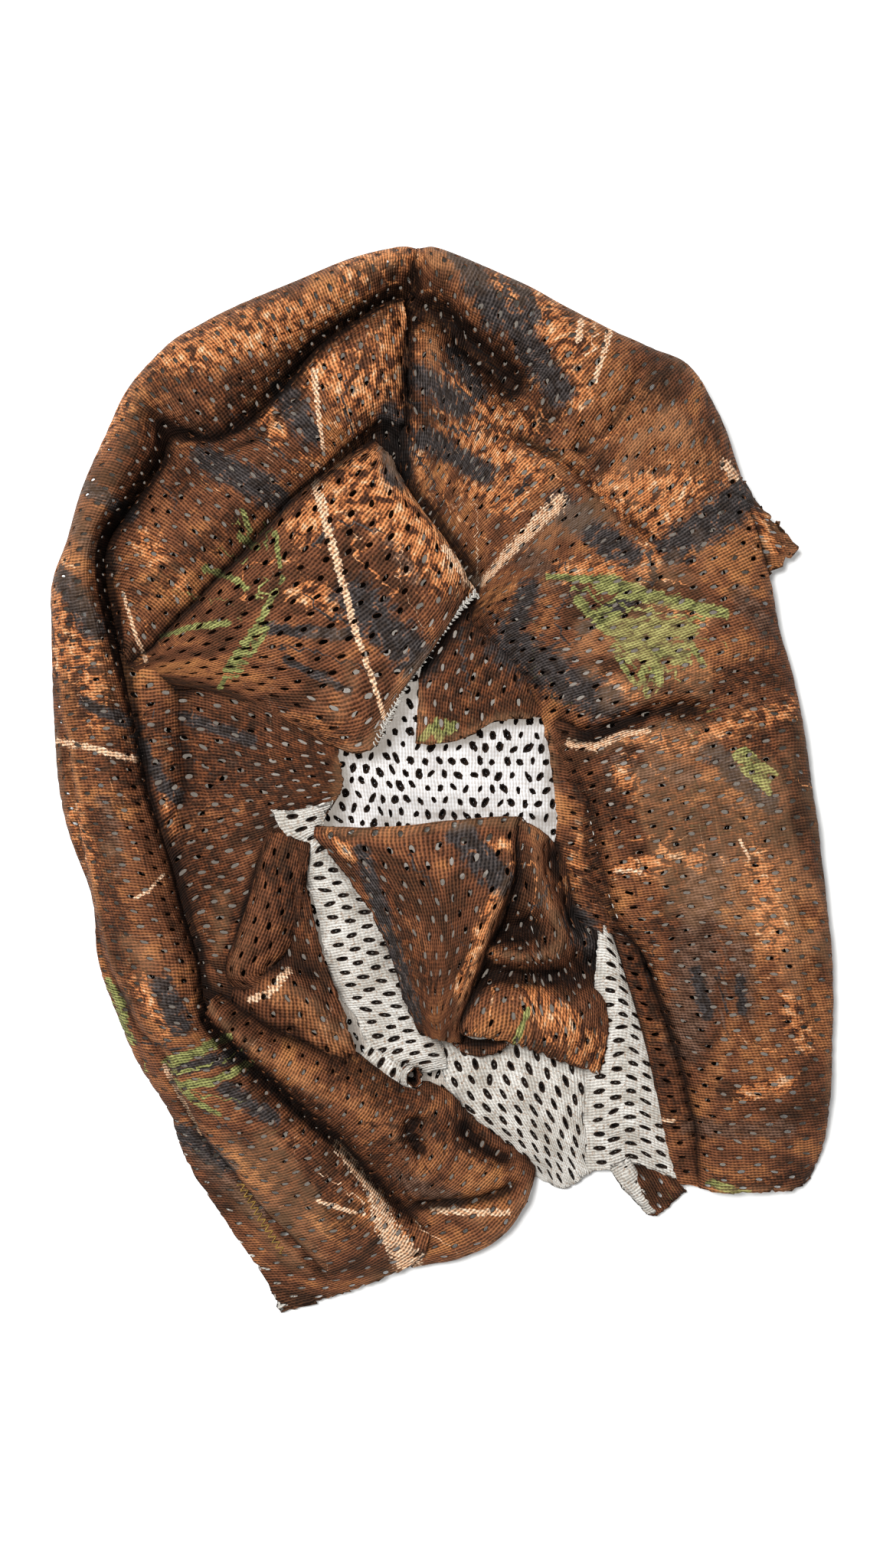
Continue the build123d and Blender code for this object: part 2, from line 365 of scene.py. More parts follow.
def clean(mesh):
    """Drops the sliver faces that a cut edge leaves, and turns the normals out."""
    bm = bmesh.new()
    bm.from_mesh(mesh)
    bmesh.ops.remove_doubles(bm, verts=bm.verts, dist=WELD * MM)
    bmesh.ops.dissolve_degenerate(bm, dist=WELD * MM, edges=bm.edges)
    bmesh.ops.recalc_face_normals(bm, faces=bm.faces)
    bm.to_mesh(mesh)
    bm.free()


class Relief:
    """The height of the mask from above, and how far a point lies below the cloth round it, by which the
    materials paint shade into creases and a faint highlight onto ridges.
    """

    step = 1.5  # size of a cell
    corner = np.array([-150.0, -198.0])
    cells = (201, 265)

    def __init__(self, grids):
        self.top = np.zeros(self.cells)
        for grid in grids:
            between = (grid[1:, 1:] + grid[:-1, 1:] + grid[1:, :-1] + grid[:-1, :-1]) / 4
            spots = np.concatenate([grid.reshape(-1, 3), between.reshape(-1, 3)])
            i, j = np.round((spots[:, :2] - self.corner) / self.step).astype(int).T
            np.maximum.at(self.top, (i, j), spots[:, 2])
        # the heights blurred so often, the depth that counts as deep there, and its share in the total
        self.scales = []
        for times, deep, share in ((6, 2.5, 0.4), (24, 6, 0.4), (2, 1.5, 0.35)):
            self.scales.append((self.blurred(times), deep, share))

    def blurred(self, times):
        """The heights, averaged with their neighbours that many times."""
        heights = self.top
        for _ in range(times):
            for axis in (0, 1):
                heights = (np.roll(heights, 1, axis) + heights + np.roll(heights, -1, axis)) / 3
        return heights

    def sample(self, heights, points):
        """Heights at points, blended between the four nearest cells."""
        place = np.clip((points[:, :2] - self.corner) / self.step, 0, np.array(self.cells) - 1.001)
        i, j = place.astype(int).T
        f, g = (place - place.astype(int)).T
        left = heights[i, j] * (1 - g) + heights[i, j + 1] * g
        right = heights[i + 1, j] * (1 - g) + heights[i + 1, j + 1] * g
        return left * (1 - f) + right * f

    def pressed(self, points):
        """How deep points lie among the folds: 1 is the bottom of a crease, below 0 is proud. The materials
        paint shade and highlight by it.
        """
        total = 0
        for heights, deep, share in self.scales:
            total = total + share * (self.sample(heights, points) - points[:, 2]) / deep
        return np.clip(total, -1, 1.6)


# ---------------------------------------------------------------- print

# Each print feature is a line with a width, and a second width if it tapers, in the frame of the part.
CREAM = [  # twigs and bare patches
    ([(38, 91), (31, 84), (22, 75), (13, 65)], 4.8, 2.2),
    ([(-41, 98), (-38, 88), (-36, 79), (-33, 70), (-30, 58), (-28, 50), (-25, 42), (-22, 33), (-18, 20)],
     3.0, 1.4),
    # this one is a painted highlight along the flap's folded edge
    ([(1, 76), (10, 65)], 2.2, 3.4),
    ([(-125, 14), (-112, 11.5), (-99, 8)], 2.0),
    ([(-34, -118), (-27, -127), (-21, -135)], 2.6),
    ([(-22, -134), (-18, -144), (-11, -156)], 4.0, 8.5),
    ([(-3, -139.5), (22, -140)], 1.8),
    ([(-90, -92), (-79, -115)], 2.0, 1.0),
    ([(-41, 133), (-38, 107)], 2.0, 1.0),
    ([(45, 149), (43.5, 142)], 2.0),
    ([(54.5, 147), (49, 129)], 2.0, 1.4),
    ([(42, 13), (50, 12), (58, 16), (66, 17)], 3.0, 1.6),
    ([(-62, -70), (-56, -68), (-50, -61)], 2.4),
    ([(56, -28), (64, -28)], 1.2), ([(96, -18), (99, -24)], 1.0),
    ([(92, 104), (95, 100)], 3.4),
    ([(70, -110), (76, -110)], 1.0), ([(-103, 62), (-96, 40)], 1.2),
    ([(-98, -36.5), (-94, -34.5), (-90, -29.5)], 1.0), ([(-40, -135), (-28, -139)], 1.2),
]
TAN = [  # smooth light brown
    ([(50, 126), (62, 116), (82, 104)], 20.0, 16.0),
    ([(30, 92), (36, 100), (44, 108)], 9.0), ([(88, 86), (97, 76)], 6.0),
    ([(96, -40), (104, -85)], 7.0), ([(112, -30), (122, -80)], 8.0), ([(70, -30), (88, -34)], 8.0),
    ([(-4, 150), (-4, 136)], 7.0), ([(20, 52), (34, 42)], 4.0),
    ([(10, -126), (16, -140)], 7.0), ([(85, -100), (100, -60)], 5.0),
    ([(-122, 40), (-118, 0), (-112, -40)], 5.0),
    # the second stroke runs along the crest of the cape's roll: print and painted highlight there
    ([(-56, -66), (-44, -74), (-34, -86)], 7.0), ([(-60, -86), (-40, -98), (-22, -106)], 4.0),
    # the first stroke lies along the face cover's fold edge: print and painted highlight there
    ([(18, -34), (6, -68)], 4.0), ([(-12, 172), (4, 168)], 8.0),
]
MOTTLED = [  # crisp orange blotches
    ([(-30, 100), (-14, 88), (2, 68)], 20.0, 14.0),
    ([(-32, 92), (-44, 84)], 12.0), ([(-44, 62), (-30, 56)], 8.0),
    ([(-36, 150), (-16, 150), (-16, 132)], 12.0),
    ([(-44, 138), (-26, 124)], 12.0), ([(-60, 124), (-52, 112)], 6.0),
    ([(2, 128), (14, 122), (26, 116)], 8.0),
    ([(4, 112), (18, 106), (30, 100)], 9.0), ([(10, 96), (22, 90)], 8.0),
    ([(20, 158), (40, 142)], 16.0), ([(30, 132), (44, 124)], 9.0), ([(-10, 116), (-6, 100)], 5.0),
    ([(55, 97), (82, 97)], 7.0), ([(64, 92), (76, 87)], 8.0),
    ([(40, 68), (60, 70), (76, 76)], 7.0), ([(58, 96), (80, 72)], 4.0),
    ([(48, 34), (62, 30)], 6.0), ([(64, 62), (84, 52)], 5.0),
    ([(-86, 136), (-66, 142), (-48, 147)], 15.0), ([(-32, 170), (-31, 160)], 3.6),
    ([(-26, 172), (-25, 161)], 3.0), ([(-30, 172), (-10, 172)], 8.0), ([(-112, 112), (-104, 124)], 8.0),
    ([(-122, 70), (-124, 40)], 7.0), ([(-114, 50), (-110, 20)], 8.0), ([(-118, -10), (-108, -30)], 7.0),
    ([(-96, 78), (-84, 64)], 7.0), ([(-92, 12), (-88, -14)], 5.0), ([(30, -70), (52, -90)], 10.0),
    ([(-12, -148), (-25, -140)], 6.0), ([(55, -28), (82, -25)], 5.0),
    ([(8, -20), (20, -20)], 4.0),
    ([(-100, -60), (-88, -78)], 6.0), ([(8, 22), (12, 40)], 4.0),
    ([(58, 16), (80, 12)], 4.0), ([(84, 16), (112, 24)], 6.0), ([(46, -12), (42, -34)], 5.0),
    ([(18, 117), (42, 103), (75, 72)], 2.6), ([(98, 92), (108, 78)], 6.0), ([(100, -18), (108, -50)], 9.0),
    # the first stroke lies along the face cover's fold edge: print and painted highlight there
    ([(19, -30), (12, -50), (6, -66)], 3.4), ([(-36, -16), (-28, -24)], 4.0),
    ([(46, -27), (58, -28), (70, -22), (77, -10)], 2.2),
    ([(64, -26), (84, -20)], 2.0), ([(112, -70), (118, -84)], 6.0),
    ([(98, -100), (112, -96)], 5.0), ([(58, 4), (66, -12)], 5.0),
]
TAUPE = [  # smooth grey brown
    ([(84, -26), (82, -60), (78, -84)], 18.0, 12.0),
    ([(96, -52), (98, -72)], 7.0), ([(56, 6), (80, 2)], 8.0),
    ([(26, 74), (44, 62)], 8.0), ([(80, -112), (112, -112)], 6.0), ([(-70, 8), (-50, -2)], 8.0),
    ([(-118, 84), (-108, 70)], 6.0), ([(-108, -6), (-104, -26)], 6.0), ([(-90, -112), (-60, -140)], 6.0),
    ([(-14, -128), (4, -136)], 7.0), ([(-8, 66), (-18, 78)], 5.0), ([(96, 62), (106, 50)], 6.0),
]
DUSK = [  # ragged dark brown
    ([(-95, 8), (-60, 4), (-40, 2)], 30.0), ([(-78, -20), (-74, -50)], 14.0),
    # the strokes on this line and the next, along the valley between the left rim and the inner hood, paint
    # shade there as well as print
    ([(-84, 98), (-66, 122)], 12.0), ([(-92, 129), (-72, 127), (-46, 138), (-20, 151)], 7.0),
    ([(-96, 122), (-100, 104)], 9.0),
    ([(-30, -92), (-10, -106), (12, -118)], 9.0), ([(60, -50), (74, -110)], 8.0),
    ([(58, -8), (80, -12), (106, -14)], 10.0),
    ([(62, 34), (84, 30), (104, 36)], 9.0), ([(-58, -120), (-30, -141)], 12.0),
    ([(100, 16), (112, 2)], 8.0),
    ([(28, 126), (20, 142)], 6.0), ([(10, 20), (14, 50)], 24.0), ([(46, 0), (52, -44)], 8.0),
    ([(-20, -118), (-6, -112)], 7.0), ([(-46, -46), (-52, -30)], 9.0),
    ([(20, -50), (40, -64)], 8.0), ([(-24, -27), (-13, -48), (-6, -64)], 9.0),
    ([(-40, -104), (-56, -96)], 5.0), ([(-98, 60), (-60, 90)], 6.0), ([(50, 16), (90, 22)], 4.0),
    ([(-112, -10), (-100, -60)], 6.0),
    ([(90, -130), (104, -131), (119, -127)], 4.0), ([(70, -4), (104, 2)], 4.0),
    ([(-56, -100), (-32, -117), (-12, -134)], 6.0),
    ([(76, -28), (72, -46)], 7.0), ([(88, -4), (97, -22)], 5.0),
]
GRASS = [  # crisp green blades and leaves
    ([(-65, 80), (-60, 77)], 2.6), ([(-54, 81), (-52, 70)], 2.0, 1.2), ([(-64, 88), (-62, 82)], 1.6),
    ([(-76, 69.5), (-68, 67), (-63, 63)], 2.6, 2.0), ([(-91, 48), (-80, 51), (-69, 52)], 1.6, 2.4),
    ([(-53.5, 62), (-62, 46), (-72, 31)], 2.2, 1.6),
    ([(-56, 50), (-66, 35)], 1.6), ([(-60, 52), (-70, 37)], 1.4),
    ([(34, 66.5), (50, 65.5)], 1.6, 3.0),
    ([(52, 64.5), (72, 59), (91, 55)], 6.0, 3.4), ([(44, 59), (54, 49)], 3.0, 4.0),
    ([(54, 53), (62, 44)], 7.0), ([(62, 50), (80, 50)], 8.0, 5.0),
    ([(66, 44), (76, 42)], 8.0), ([(68, 40), (70, 32)], 5.0, 2.0),
    ([(56, 42), (62, 32)], 1.8), ([(64, 36), (66, 28)], 1.8),
    ([(80, 46), (84, 38)], 2.0), ([(96, 9), (105, 1)], 3.8),
    ([(98, 11), (108, 3)], 1.8), ([(98, 4), (106, -3)], 1.6), ([(-109, -65), (-104, -72)], 2.8),
    ([(-107, -75), (-101, -84)], 2.8), ([(-106, -70), (-103, -76)], 2.0),
    ([(-88, -90), (-78, -86), (-69, -82)], 4.4, 2.6), ([(-85, -97.5), (-74, -96), (-62, -91)], 3.4, 2.4),
    ([(-86, -97), (-80, -103), (-72, -107)], 3.0, 1.6),
    ([(24, -84), (28, -73)], 1.8), ([(88, -131), (100, -134)], 3.0),
    ([(-6, 15), (-1, 20)], 3.0), ([(-1, 15), (4, 19)], 3.2),
]
CHARCOAL = [  # charcoal brush marks
    ([(-28, 60), (-8, 40)], 13.0), ([(-56, 50), (-30, 48)], 4.0), ([(-76, 105), (-54, 93)], 9.0),
    ([(-52, 128), (-42, 112)], 8.0), ([(-118, 97), (-101, 88)], 5.0), ([(-122, 66), (-112, 50)], 8.0),
    ([(-90, -64), (-84, -78)], 7.0), ([(-70, -98), (-55, -108)], 5.0), ([(-85, -115), (-70, -125)], 7.0),
    ([(6, 170), (17, 151)], 9.0), ([(24, 162), (30, 150)], 5.0), ([(-8, 132), (6, 121)], 8.0),
    ([(38, 90), (60, 73)], 9.0), ([(75, 76), (98, 93)], 12.0), ([(22, 45), (52, 26)], 13.0),
    ([(87, 10), (106, -6)], 7.0), ([(82, -60), (85, -74)], 4.2),
    ([(96, -62), (97, -73)], 3.4), ([(6, -16), (19, -31)], 9.0),
    # this stroke darkens the face cover inside its left edge, as print and painted shade
    ([(-26, -22), (-20, -40), (-14, -57), (-9, -76)], 5.0),
    ([(44, -44), (52, -57)], 9.0), ([(22, 150), (38, 126)], 9.0),
    ([(-16, 118), (-14, 100)], 9.0), ([(-6, 112), (14, 100)], 7.0), ([(4, 140), (12, 126)], 6.0),
    ([(60, 60), (46, 50)], 5.0), ([(-97, 12), (-92, 2), (-87, -4)], 5.0),
    ([(28, 62), (22, 46)], 7.0), ([(-84, 22), (-62, 14)], 4.0), ([(-114, 26), (-102, 20)], 4.0),
    ([(-86, -92), (-66, -88)], 5.0), ([(-50, 40), (-30, 30)], 3.0),
]
PRINT = {
    "tan": TAN, "taupe": TAUPE, "dusk": DUSK, "mottled": MOTTLED,
    "charcoal": CHARCOAL, "grass": GRASS, "cream": CREAM,
}
STROKE_REACH = 12.0  # beyond this from a stroke, all places are equally far out


def brush_place(spots, strokes):
    """Where each spot lies on the nearest brush stroke, in half widths of that stroke.

    The three numbers are the distance across it, the distance along it from its middle, and its half
    length.
    All three change evenly over a stroke, so a coarse mesh still gives the strokes crisp edges."""
    nearest = np.full(len(spots), np.inf)
    found = np.full((len(spots), 3), 99.0)
    for line, width, *end_width in strokes:
        line = np.array(line, float)
        reach = width + STROKE_REACH
        inside = (spots > line.min(axis=0) - reach) & (spots < line.max(axis=0) + reach)
        near = np.flatnonzero(inside.all(axis=1))
        runs = np.linalg.norm(np.diff(line, axis=0), axis=1)
        total, start = runs.sum(), 0.0
        for k, run in enumerate(runs):
            way = (line[k + 1] - line[k]) / run
            from_start = spots[near] - line[k]
            along = from_start @ way
            across = from_start @ (-way[1], way[0])
            beyond = np.abs(along - np.clip(along, 0, run))
            share = np.clip((start + along) / total, 0, 1)
            last_width = end_width[0] if end_width else width
            half = (width + (last_width - width) * share) / 2
            out = np.hypot(across, beyond) - half
            better = out < nearest[near]
            chosen = near[better]
            nearest[chosen] = out[better]
            place = np.stack([across, start + along - total / 2, np.full(len(near), total / 2)], axis=1)
            found[chosen] = (place / half[:, None])[better]
            start += run
    return found


# ---------------------------------------------------------------- materials

def colour(code):
    """A linear colour from its usual sRGB code."""
    channels = [int(code[k:k + 2], 16) / 255 for k in (0, 2, 4)]
    return (*[c / 12.92 if c <= 0.04045 else ((c + 0.055) / 1.055) ** 2.4 for c in channels], 1)


class Nodes:
    """A short way to write a material's nodes."""

    def __init__(self, name, roughness=0.85, sheen=0.0):
        self.material = bpy.data.materials.new(name)
        self.material.use_nodes = True
        self.tree = self.material.node_tree
        self.shader = self.tree.nodes["Principled BSDF"]
        self.shader.inputs["Roughness"].default_value = roughness
        self.shader.inputs["Specular IOR Level"].default_value = 0.12
        self.shader.inputs["Sheen Weight"].default_value = sheen

    def put(self, socket, value):
        """Links another socket to this one, or sets its value."""
        if isinstance(value, bpy.types.NodeSocket):
            self.tree.links.new(value, socket)
        else:
            socket.default_value = value

    def add(self, kind, inputs=None, **settings):
        """A node of that kind, with its inputs linked or set."""
        node = self.tree.nodes.new(kind)
        for key, value in settings.items():
            setattr(node, key, value)
        for key, value in (inputs or {}).items():
            self.put(node.inputs[key], value)
        return node

    def math(self, operation, a, b=0.0):
        """The result of a math node."""
        node = self.add("ShaderNodeMath", operation=operation)
        self.put(node.inputs[0], a)
        self.put(node.inputs[1], b)
        return node.outputs[0]

    def times(self, a, b):
        """The product of two values."""
        return self.math("MULTIPLY", a, b)

    def blend(self, factor, a, b):
        """From a to b by the factor."""
        node = self.add("ShaderNodeMix", {0: factor, 6: a, 7: b}, data_type="RGBA")
        return node.outputs[2]

    def noise(self, where, scale, detail=4.0, roughness=0.6, distortion=0.0):
        """Smooth noise round a half."""
        node = self.add("ShaderNodeTexNoise", {
            "Vector": where, "Scale": scale, "Detail": detail,
            "Roughness": roughness, "Distortion": distortion,
        })
        return node.outputs["Fac"]

    def ramp(self, factor, stops):
        """A colour for each value of the factor, between stops of (value, colour)."""
        node = self.add("ShaderNodeValToRGB", {"Fac": factor})
        ends = node.color_ramp.elements
        ends[0].position, ends[0].color = stops[0]
        ends[1].position, ends[1].color = stops[-1]
        for position, tint in stops[1:-1]:
            ends.new(position).color = tint
        return node.outputs["Color"]

    def attribute(self, name, output):
        """Values that knit wrote to the mesh."""
        node = self.add("ShaderNodeAttribute", attribute_name=name, attribute_type="GEOMETRY")
        return node.outputs[output]

    def inside(self, layer):
        """How far a place is inside the nearest stroke of a print layer: 1 on its middle, 0 at its edge."""
        parts = self.add("ShaderNodeSeparateXYZ", {0: self.attribute(layer, "Vector")}).outputs
        past_end = self.math("SUBTRACT", self.math("ABSOLUTE", parts["Y"]), parts["Z"])
        beyond = self.math("MAXIMUM", past_end, 0.0)
        squares = self.math("ADD", self.times(parts["X"], parts["X"]), self.times(beyond, beyond))
        return self.math("SUBTRACT", 1.0, self.math("SQRT", squares))

    def step(self, value, low, high):
        """From 0 at low to 1 at high, smoothly."""
        node = self.add("ShaderNodeMapRange", {
            "Value": value, "From Min": low, "From Max": high, "To Min": 0.0, "To Max": 1.0,
        }, interpolation_type="SMOOTHSTEP")
        return node.outputs["Result"]

    def centred(self, value, gain):
        """The value's distance from a half, times the gain."""
        return self.times(self.math("SUBTRACT", value, 0.5), gain)

    def done(self, base, height=None, strength=0.5, distance=0.0002):
        """The finished material, with that colour and with bumps of that height."""
        self.tree.links.new(base, self.shader.inputs["Base Color"])
        if height is not None:
            settings = {"Height": height, "Strength": strength, "Distance": distance}
            bump = self.add("ShaderNodeBump", settings)
            self.tree.links.new(bump.outputs["Normal"], self.shader.inputs["Normal"])
        return self.material


def fabric_place(n, stretch=(1, 1, 1)):
    """The place in the flat cloth, in millimetres, scaled on each axis."""
    uv = n.add("ShaderNodeUVMap", uv_map="Fabric").outputs["UV"]
    return n.add("ShaderNodeVectorMath", {0: uv, 1: stretch}, operation="MULTIPLY").outputs[0]


def knit_height(n):
    """Ribs along v, with the stitches of each rib as smaller steps."""
    place = fabric_place(n)
    split = n.add("ShaderNodeSeparateXYZ", {"Vector": place})
    waver = n.times(n.noise(place, 0.25, 2.0), 0.9)
    across = n.times(n.math("ADD", split.outputs["X"], waver), math.tau / STITCH_PITCH)
    along = n.times(n.math("ADD", split.outputs["Y"], waver), math.tau / STITCH_LENGTH)
    return n.math("ADD", n.math("SINE", across), n.times(n.math("SINE", along), 0.45))


def make_camo():
    """The printed face: blotches of umber, rust and tan, with the layers of brush strokes over them, and
    painted shade and highlight on the folds.
    """
    n = Nodes("camo_print", roughness=0.75)
    zones = n.noise(fabric_place(n, (0.05, 0.03, 1)), 1.0, 3.0, 0.6, 0.8)
    blotches = n.noise(fabric_place(n, (0.42, 0.30, 1)), 1.0, 5.0, 0.62, 0.7)
    patches = n.noise(fabric_place(n, (0.34, 0.22, 1)), 1.0, 3.0, 0.62, 0.5)
    brush = n.noise(fabric_place(n, (0.5, 0.2, 1)), 1.0, 5.0, 0.7, 0.8)
    speckle = n.noise(fabric_place(n, (1.0, 0.8, 1)), 1.0, 2.0, 0.6)
    # how far each kind of brush mark frays
    ragged = n.centred(brush, 7.0)
    loose = n.centred(brush, 3.4)
    fine = n.centred(speckle, 3.2)
    base = n.ramp(n.math("ADD", n.times(zones, 0.72), n.times(blotches, 0.28)), [
        (0.36, colour("2b170d")), (0.43, colour("492917")), (0.48, colour("623823")),
        (0.52, colour("75452b")), (0.56, colour("885434")), (0.59, colour("9c623a")),
        (0.66, colour("b27545")),
    ])

    def over(shade, layer, roughening, edge, tint, strength=1.0):
        """The shade with a print layer over it, whose strokes' edges fray by the roughening."""
        share = n.step(n.math("ADD", n.inside(layer), roughening), -edge, edge)
        return n.blend(n.times(share, strength), shade, tint)

    tan = n.ramp(blotches, [(0.36, colour("7a4729")), (0.5, colour("935c37")), (0.64, colour("b0764b"))])
    orange = n.ramp(patches, [
        (0.40, colour("3f2013")), (0.435, colour("6e3d22")), (0.455, colour("b3693a")),
        (0.53, colour("cf8450")), (0.60, colour("dc9863")), (0.66, colour("efc29b")),
    ])
    taupe = n.ramp(patches, [(0.40, colour("3f2a20")), (0.5, colour("5c4335")), (0.62, colour("76594a"))])
    dusk = n.ramp(blotches, [
        (0.42, colour("1e0f09")), (0.46, colour("341a0f")),
        (0.54, colour("4a2614")), (0.57, colour("6a391f")),
    ])
    cream = n.ramp(speckle, [(0.32, colour("c4845a")), (0.46, colour("e3b189")), (0.68, colour("f3d8bb"))])
    green = n.ramp(brush, [(0.40, colour("42452a")), (0.49, colour("7f8249")), (0.62, colour("a6a866"))])
    coal = n.ramp(blotches, [
        (0.40, colour("1c1b1c")), (0.47, colour("2b2b2d")), (0.57, colour("3d3c3e")),
        (0.61, colour("4f4b4b")), (0.65, colour("84563a")),
    ])
    shade = over(base, "tan", loose, 0.5, tan, 0.8)
    shade = over(shade, "taupe", loose, 0.5, taupe, 0.85)
    shade = over(shade, "mottled", ragged, 0.3, orange, 0.95)
    shade = over(shade, "dusk", ragged, 0.35, dusk, 0.85)
    shade = over(shade, "charcoal", loose, 0.28, coal)
    shade = over(shade, "grass", loose, 0.12, green)
    shade = over(shade, "cream", fine, 0.12, cream)
    height = knit_height(n)
    # painted shade in the grooves between the ribs, up to 78 percent towards near black, and a faint
    # painted highlight on their crests
    groove_shade = n.blend(0.78, shade, colour("0d0502"))
    crest_highlight = n.blend(0.025, shade, colour("f0b98c"))
    shade = n.blend(n.step(height, -1.2, 0.7), groove_shade, crest_highlight)
    press = n.attribute("press", "Fac")
    # painted shade: the colour goes up to 90 percent towards near black where the cloth lies deep among the
    # folds
    shade = n.blend(n.times(n.step(press, 0.0, 1.0), 0.9), shade, colour("0a0402"))
    # painted highlight: proud places on the ridges go up to 7 percent towards pale peach
    shade = n.blend(n.times(n.step(press, -0.2, -0.9), 0.07), shade, colour("ffc38f"))
    return n.done(shade, height, 0.7, 0.00025)


def make_white(name, low, high, flecked, glow):
    """The unprinted inside face: white yarn with brown flecks where the print comes through, with painted
    shade in its grooves and deep creases and a painted glow.
    """
    n = Nodes(name, roughness=0.9, sheen=0.1)
    flecks = n.noise(fabric_place(n, (1.2, 0.9, 1)), 1.0, 4.0, 0.75, 0.3)
    cloudy = n.noise(fabric_place(n, (0.12, 0.10, 1)), 1.0, 4.0)
    yarn = n.ramp(cloudy, [(0.35, colour(low)), (0.65, colour(high))])
    base = n.blend(n.times(n.step(flecks, 0.53, 0.61), flecked), yarn, colour("8d6f55"))
    height = knit_height(n)
    # painted shade in the grooves between the ribs, half-way towards grey brown
    shade = n.blend(n.step(height, -1.2, 0.9), n.blend(0.5, base, colour("4e473f")), base)
    # painted shade: where the white cloth lies deep among the folds or under other cloth it goes up to 60
    # percent towards dark brown, broken up by the cloudy tone
    under = n.times(n.step(n.attribute("press", "Fac"), 0.1, 1.3), n.step(cloudy, 0.72, 0.3))
    shade = n.blend(n.times(under, 0.6), shade, colour("2c1d14"))
    # painted light: the white faces glow a little, standing in for the light that comes through the thin
    # open cloth from all round
    n.shader.inputs["Emission Color"].default_value = colour("eee2d4")
    n.shader.inputs["Emission Strength"].default_value = glow
    return n.done(shade, height, 0.7, 0.00022)


def make_yarn(name, low, high):
    """A yarn of two close tones, with a twist."""
    n = Nodes(name)
    place = n.add("ShaderNodeTexCoord").outputs["Object"]
    tone = n.noise(place, 900.0, 3.0)
    return n.done(n.ramp(tone, [(0.35, colour(low)), (0.65, colour(high))]), tone, 0.4, 0.0001)


camo_print = make_camo()
# copies of the white with painted light of their own: glow 0.05 on the inside faces, 0.22 on the back cloth
# where it is covered, 0.36 on the back cloth in the eye opening
inside_white = make_white("inside_white", "aaa59b", "dcd9d2", 0.9, 0.05)
dim_white = make_white("dim_white", "9a9188", "d0c8bd", 0.9, 0.22)
lit_eye_white = make_white("lit_eye_white", "9c9ea2", "d2d3d6", 0.35, 0.36)
cut_edge = make_yarn("cut_edge", "3a2418", "6b4228")
# near black walls for the holes and cut edges of the white cloth: painted shade, so that its holes read
# dark
dark_edge = make_yarn("white_cut_edge", "0e0a08", "2a1d15")
white_thread = make_yarn("white_thread", "86817a", "c9c4bb")
brown_thread = make_yarn("brown_thread", "24150e", "4a2a1a")
gold_thread = make_yarn("gold_thread", "5a4424", "a1803f")

# ---------------------------------------------------------------- panels

# Each list is one panel, and each row is a guide line of (x, y, z) over it. The rows follow one another
# across the panel. A rolled rim ends with a point under the edge and one that is tucked in on the table.

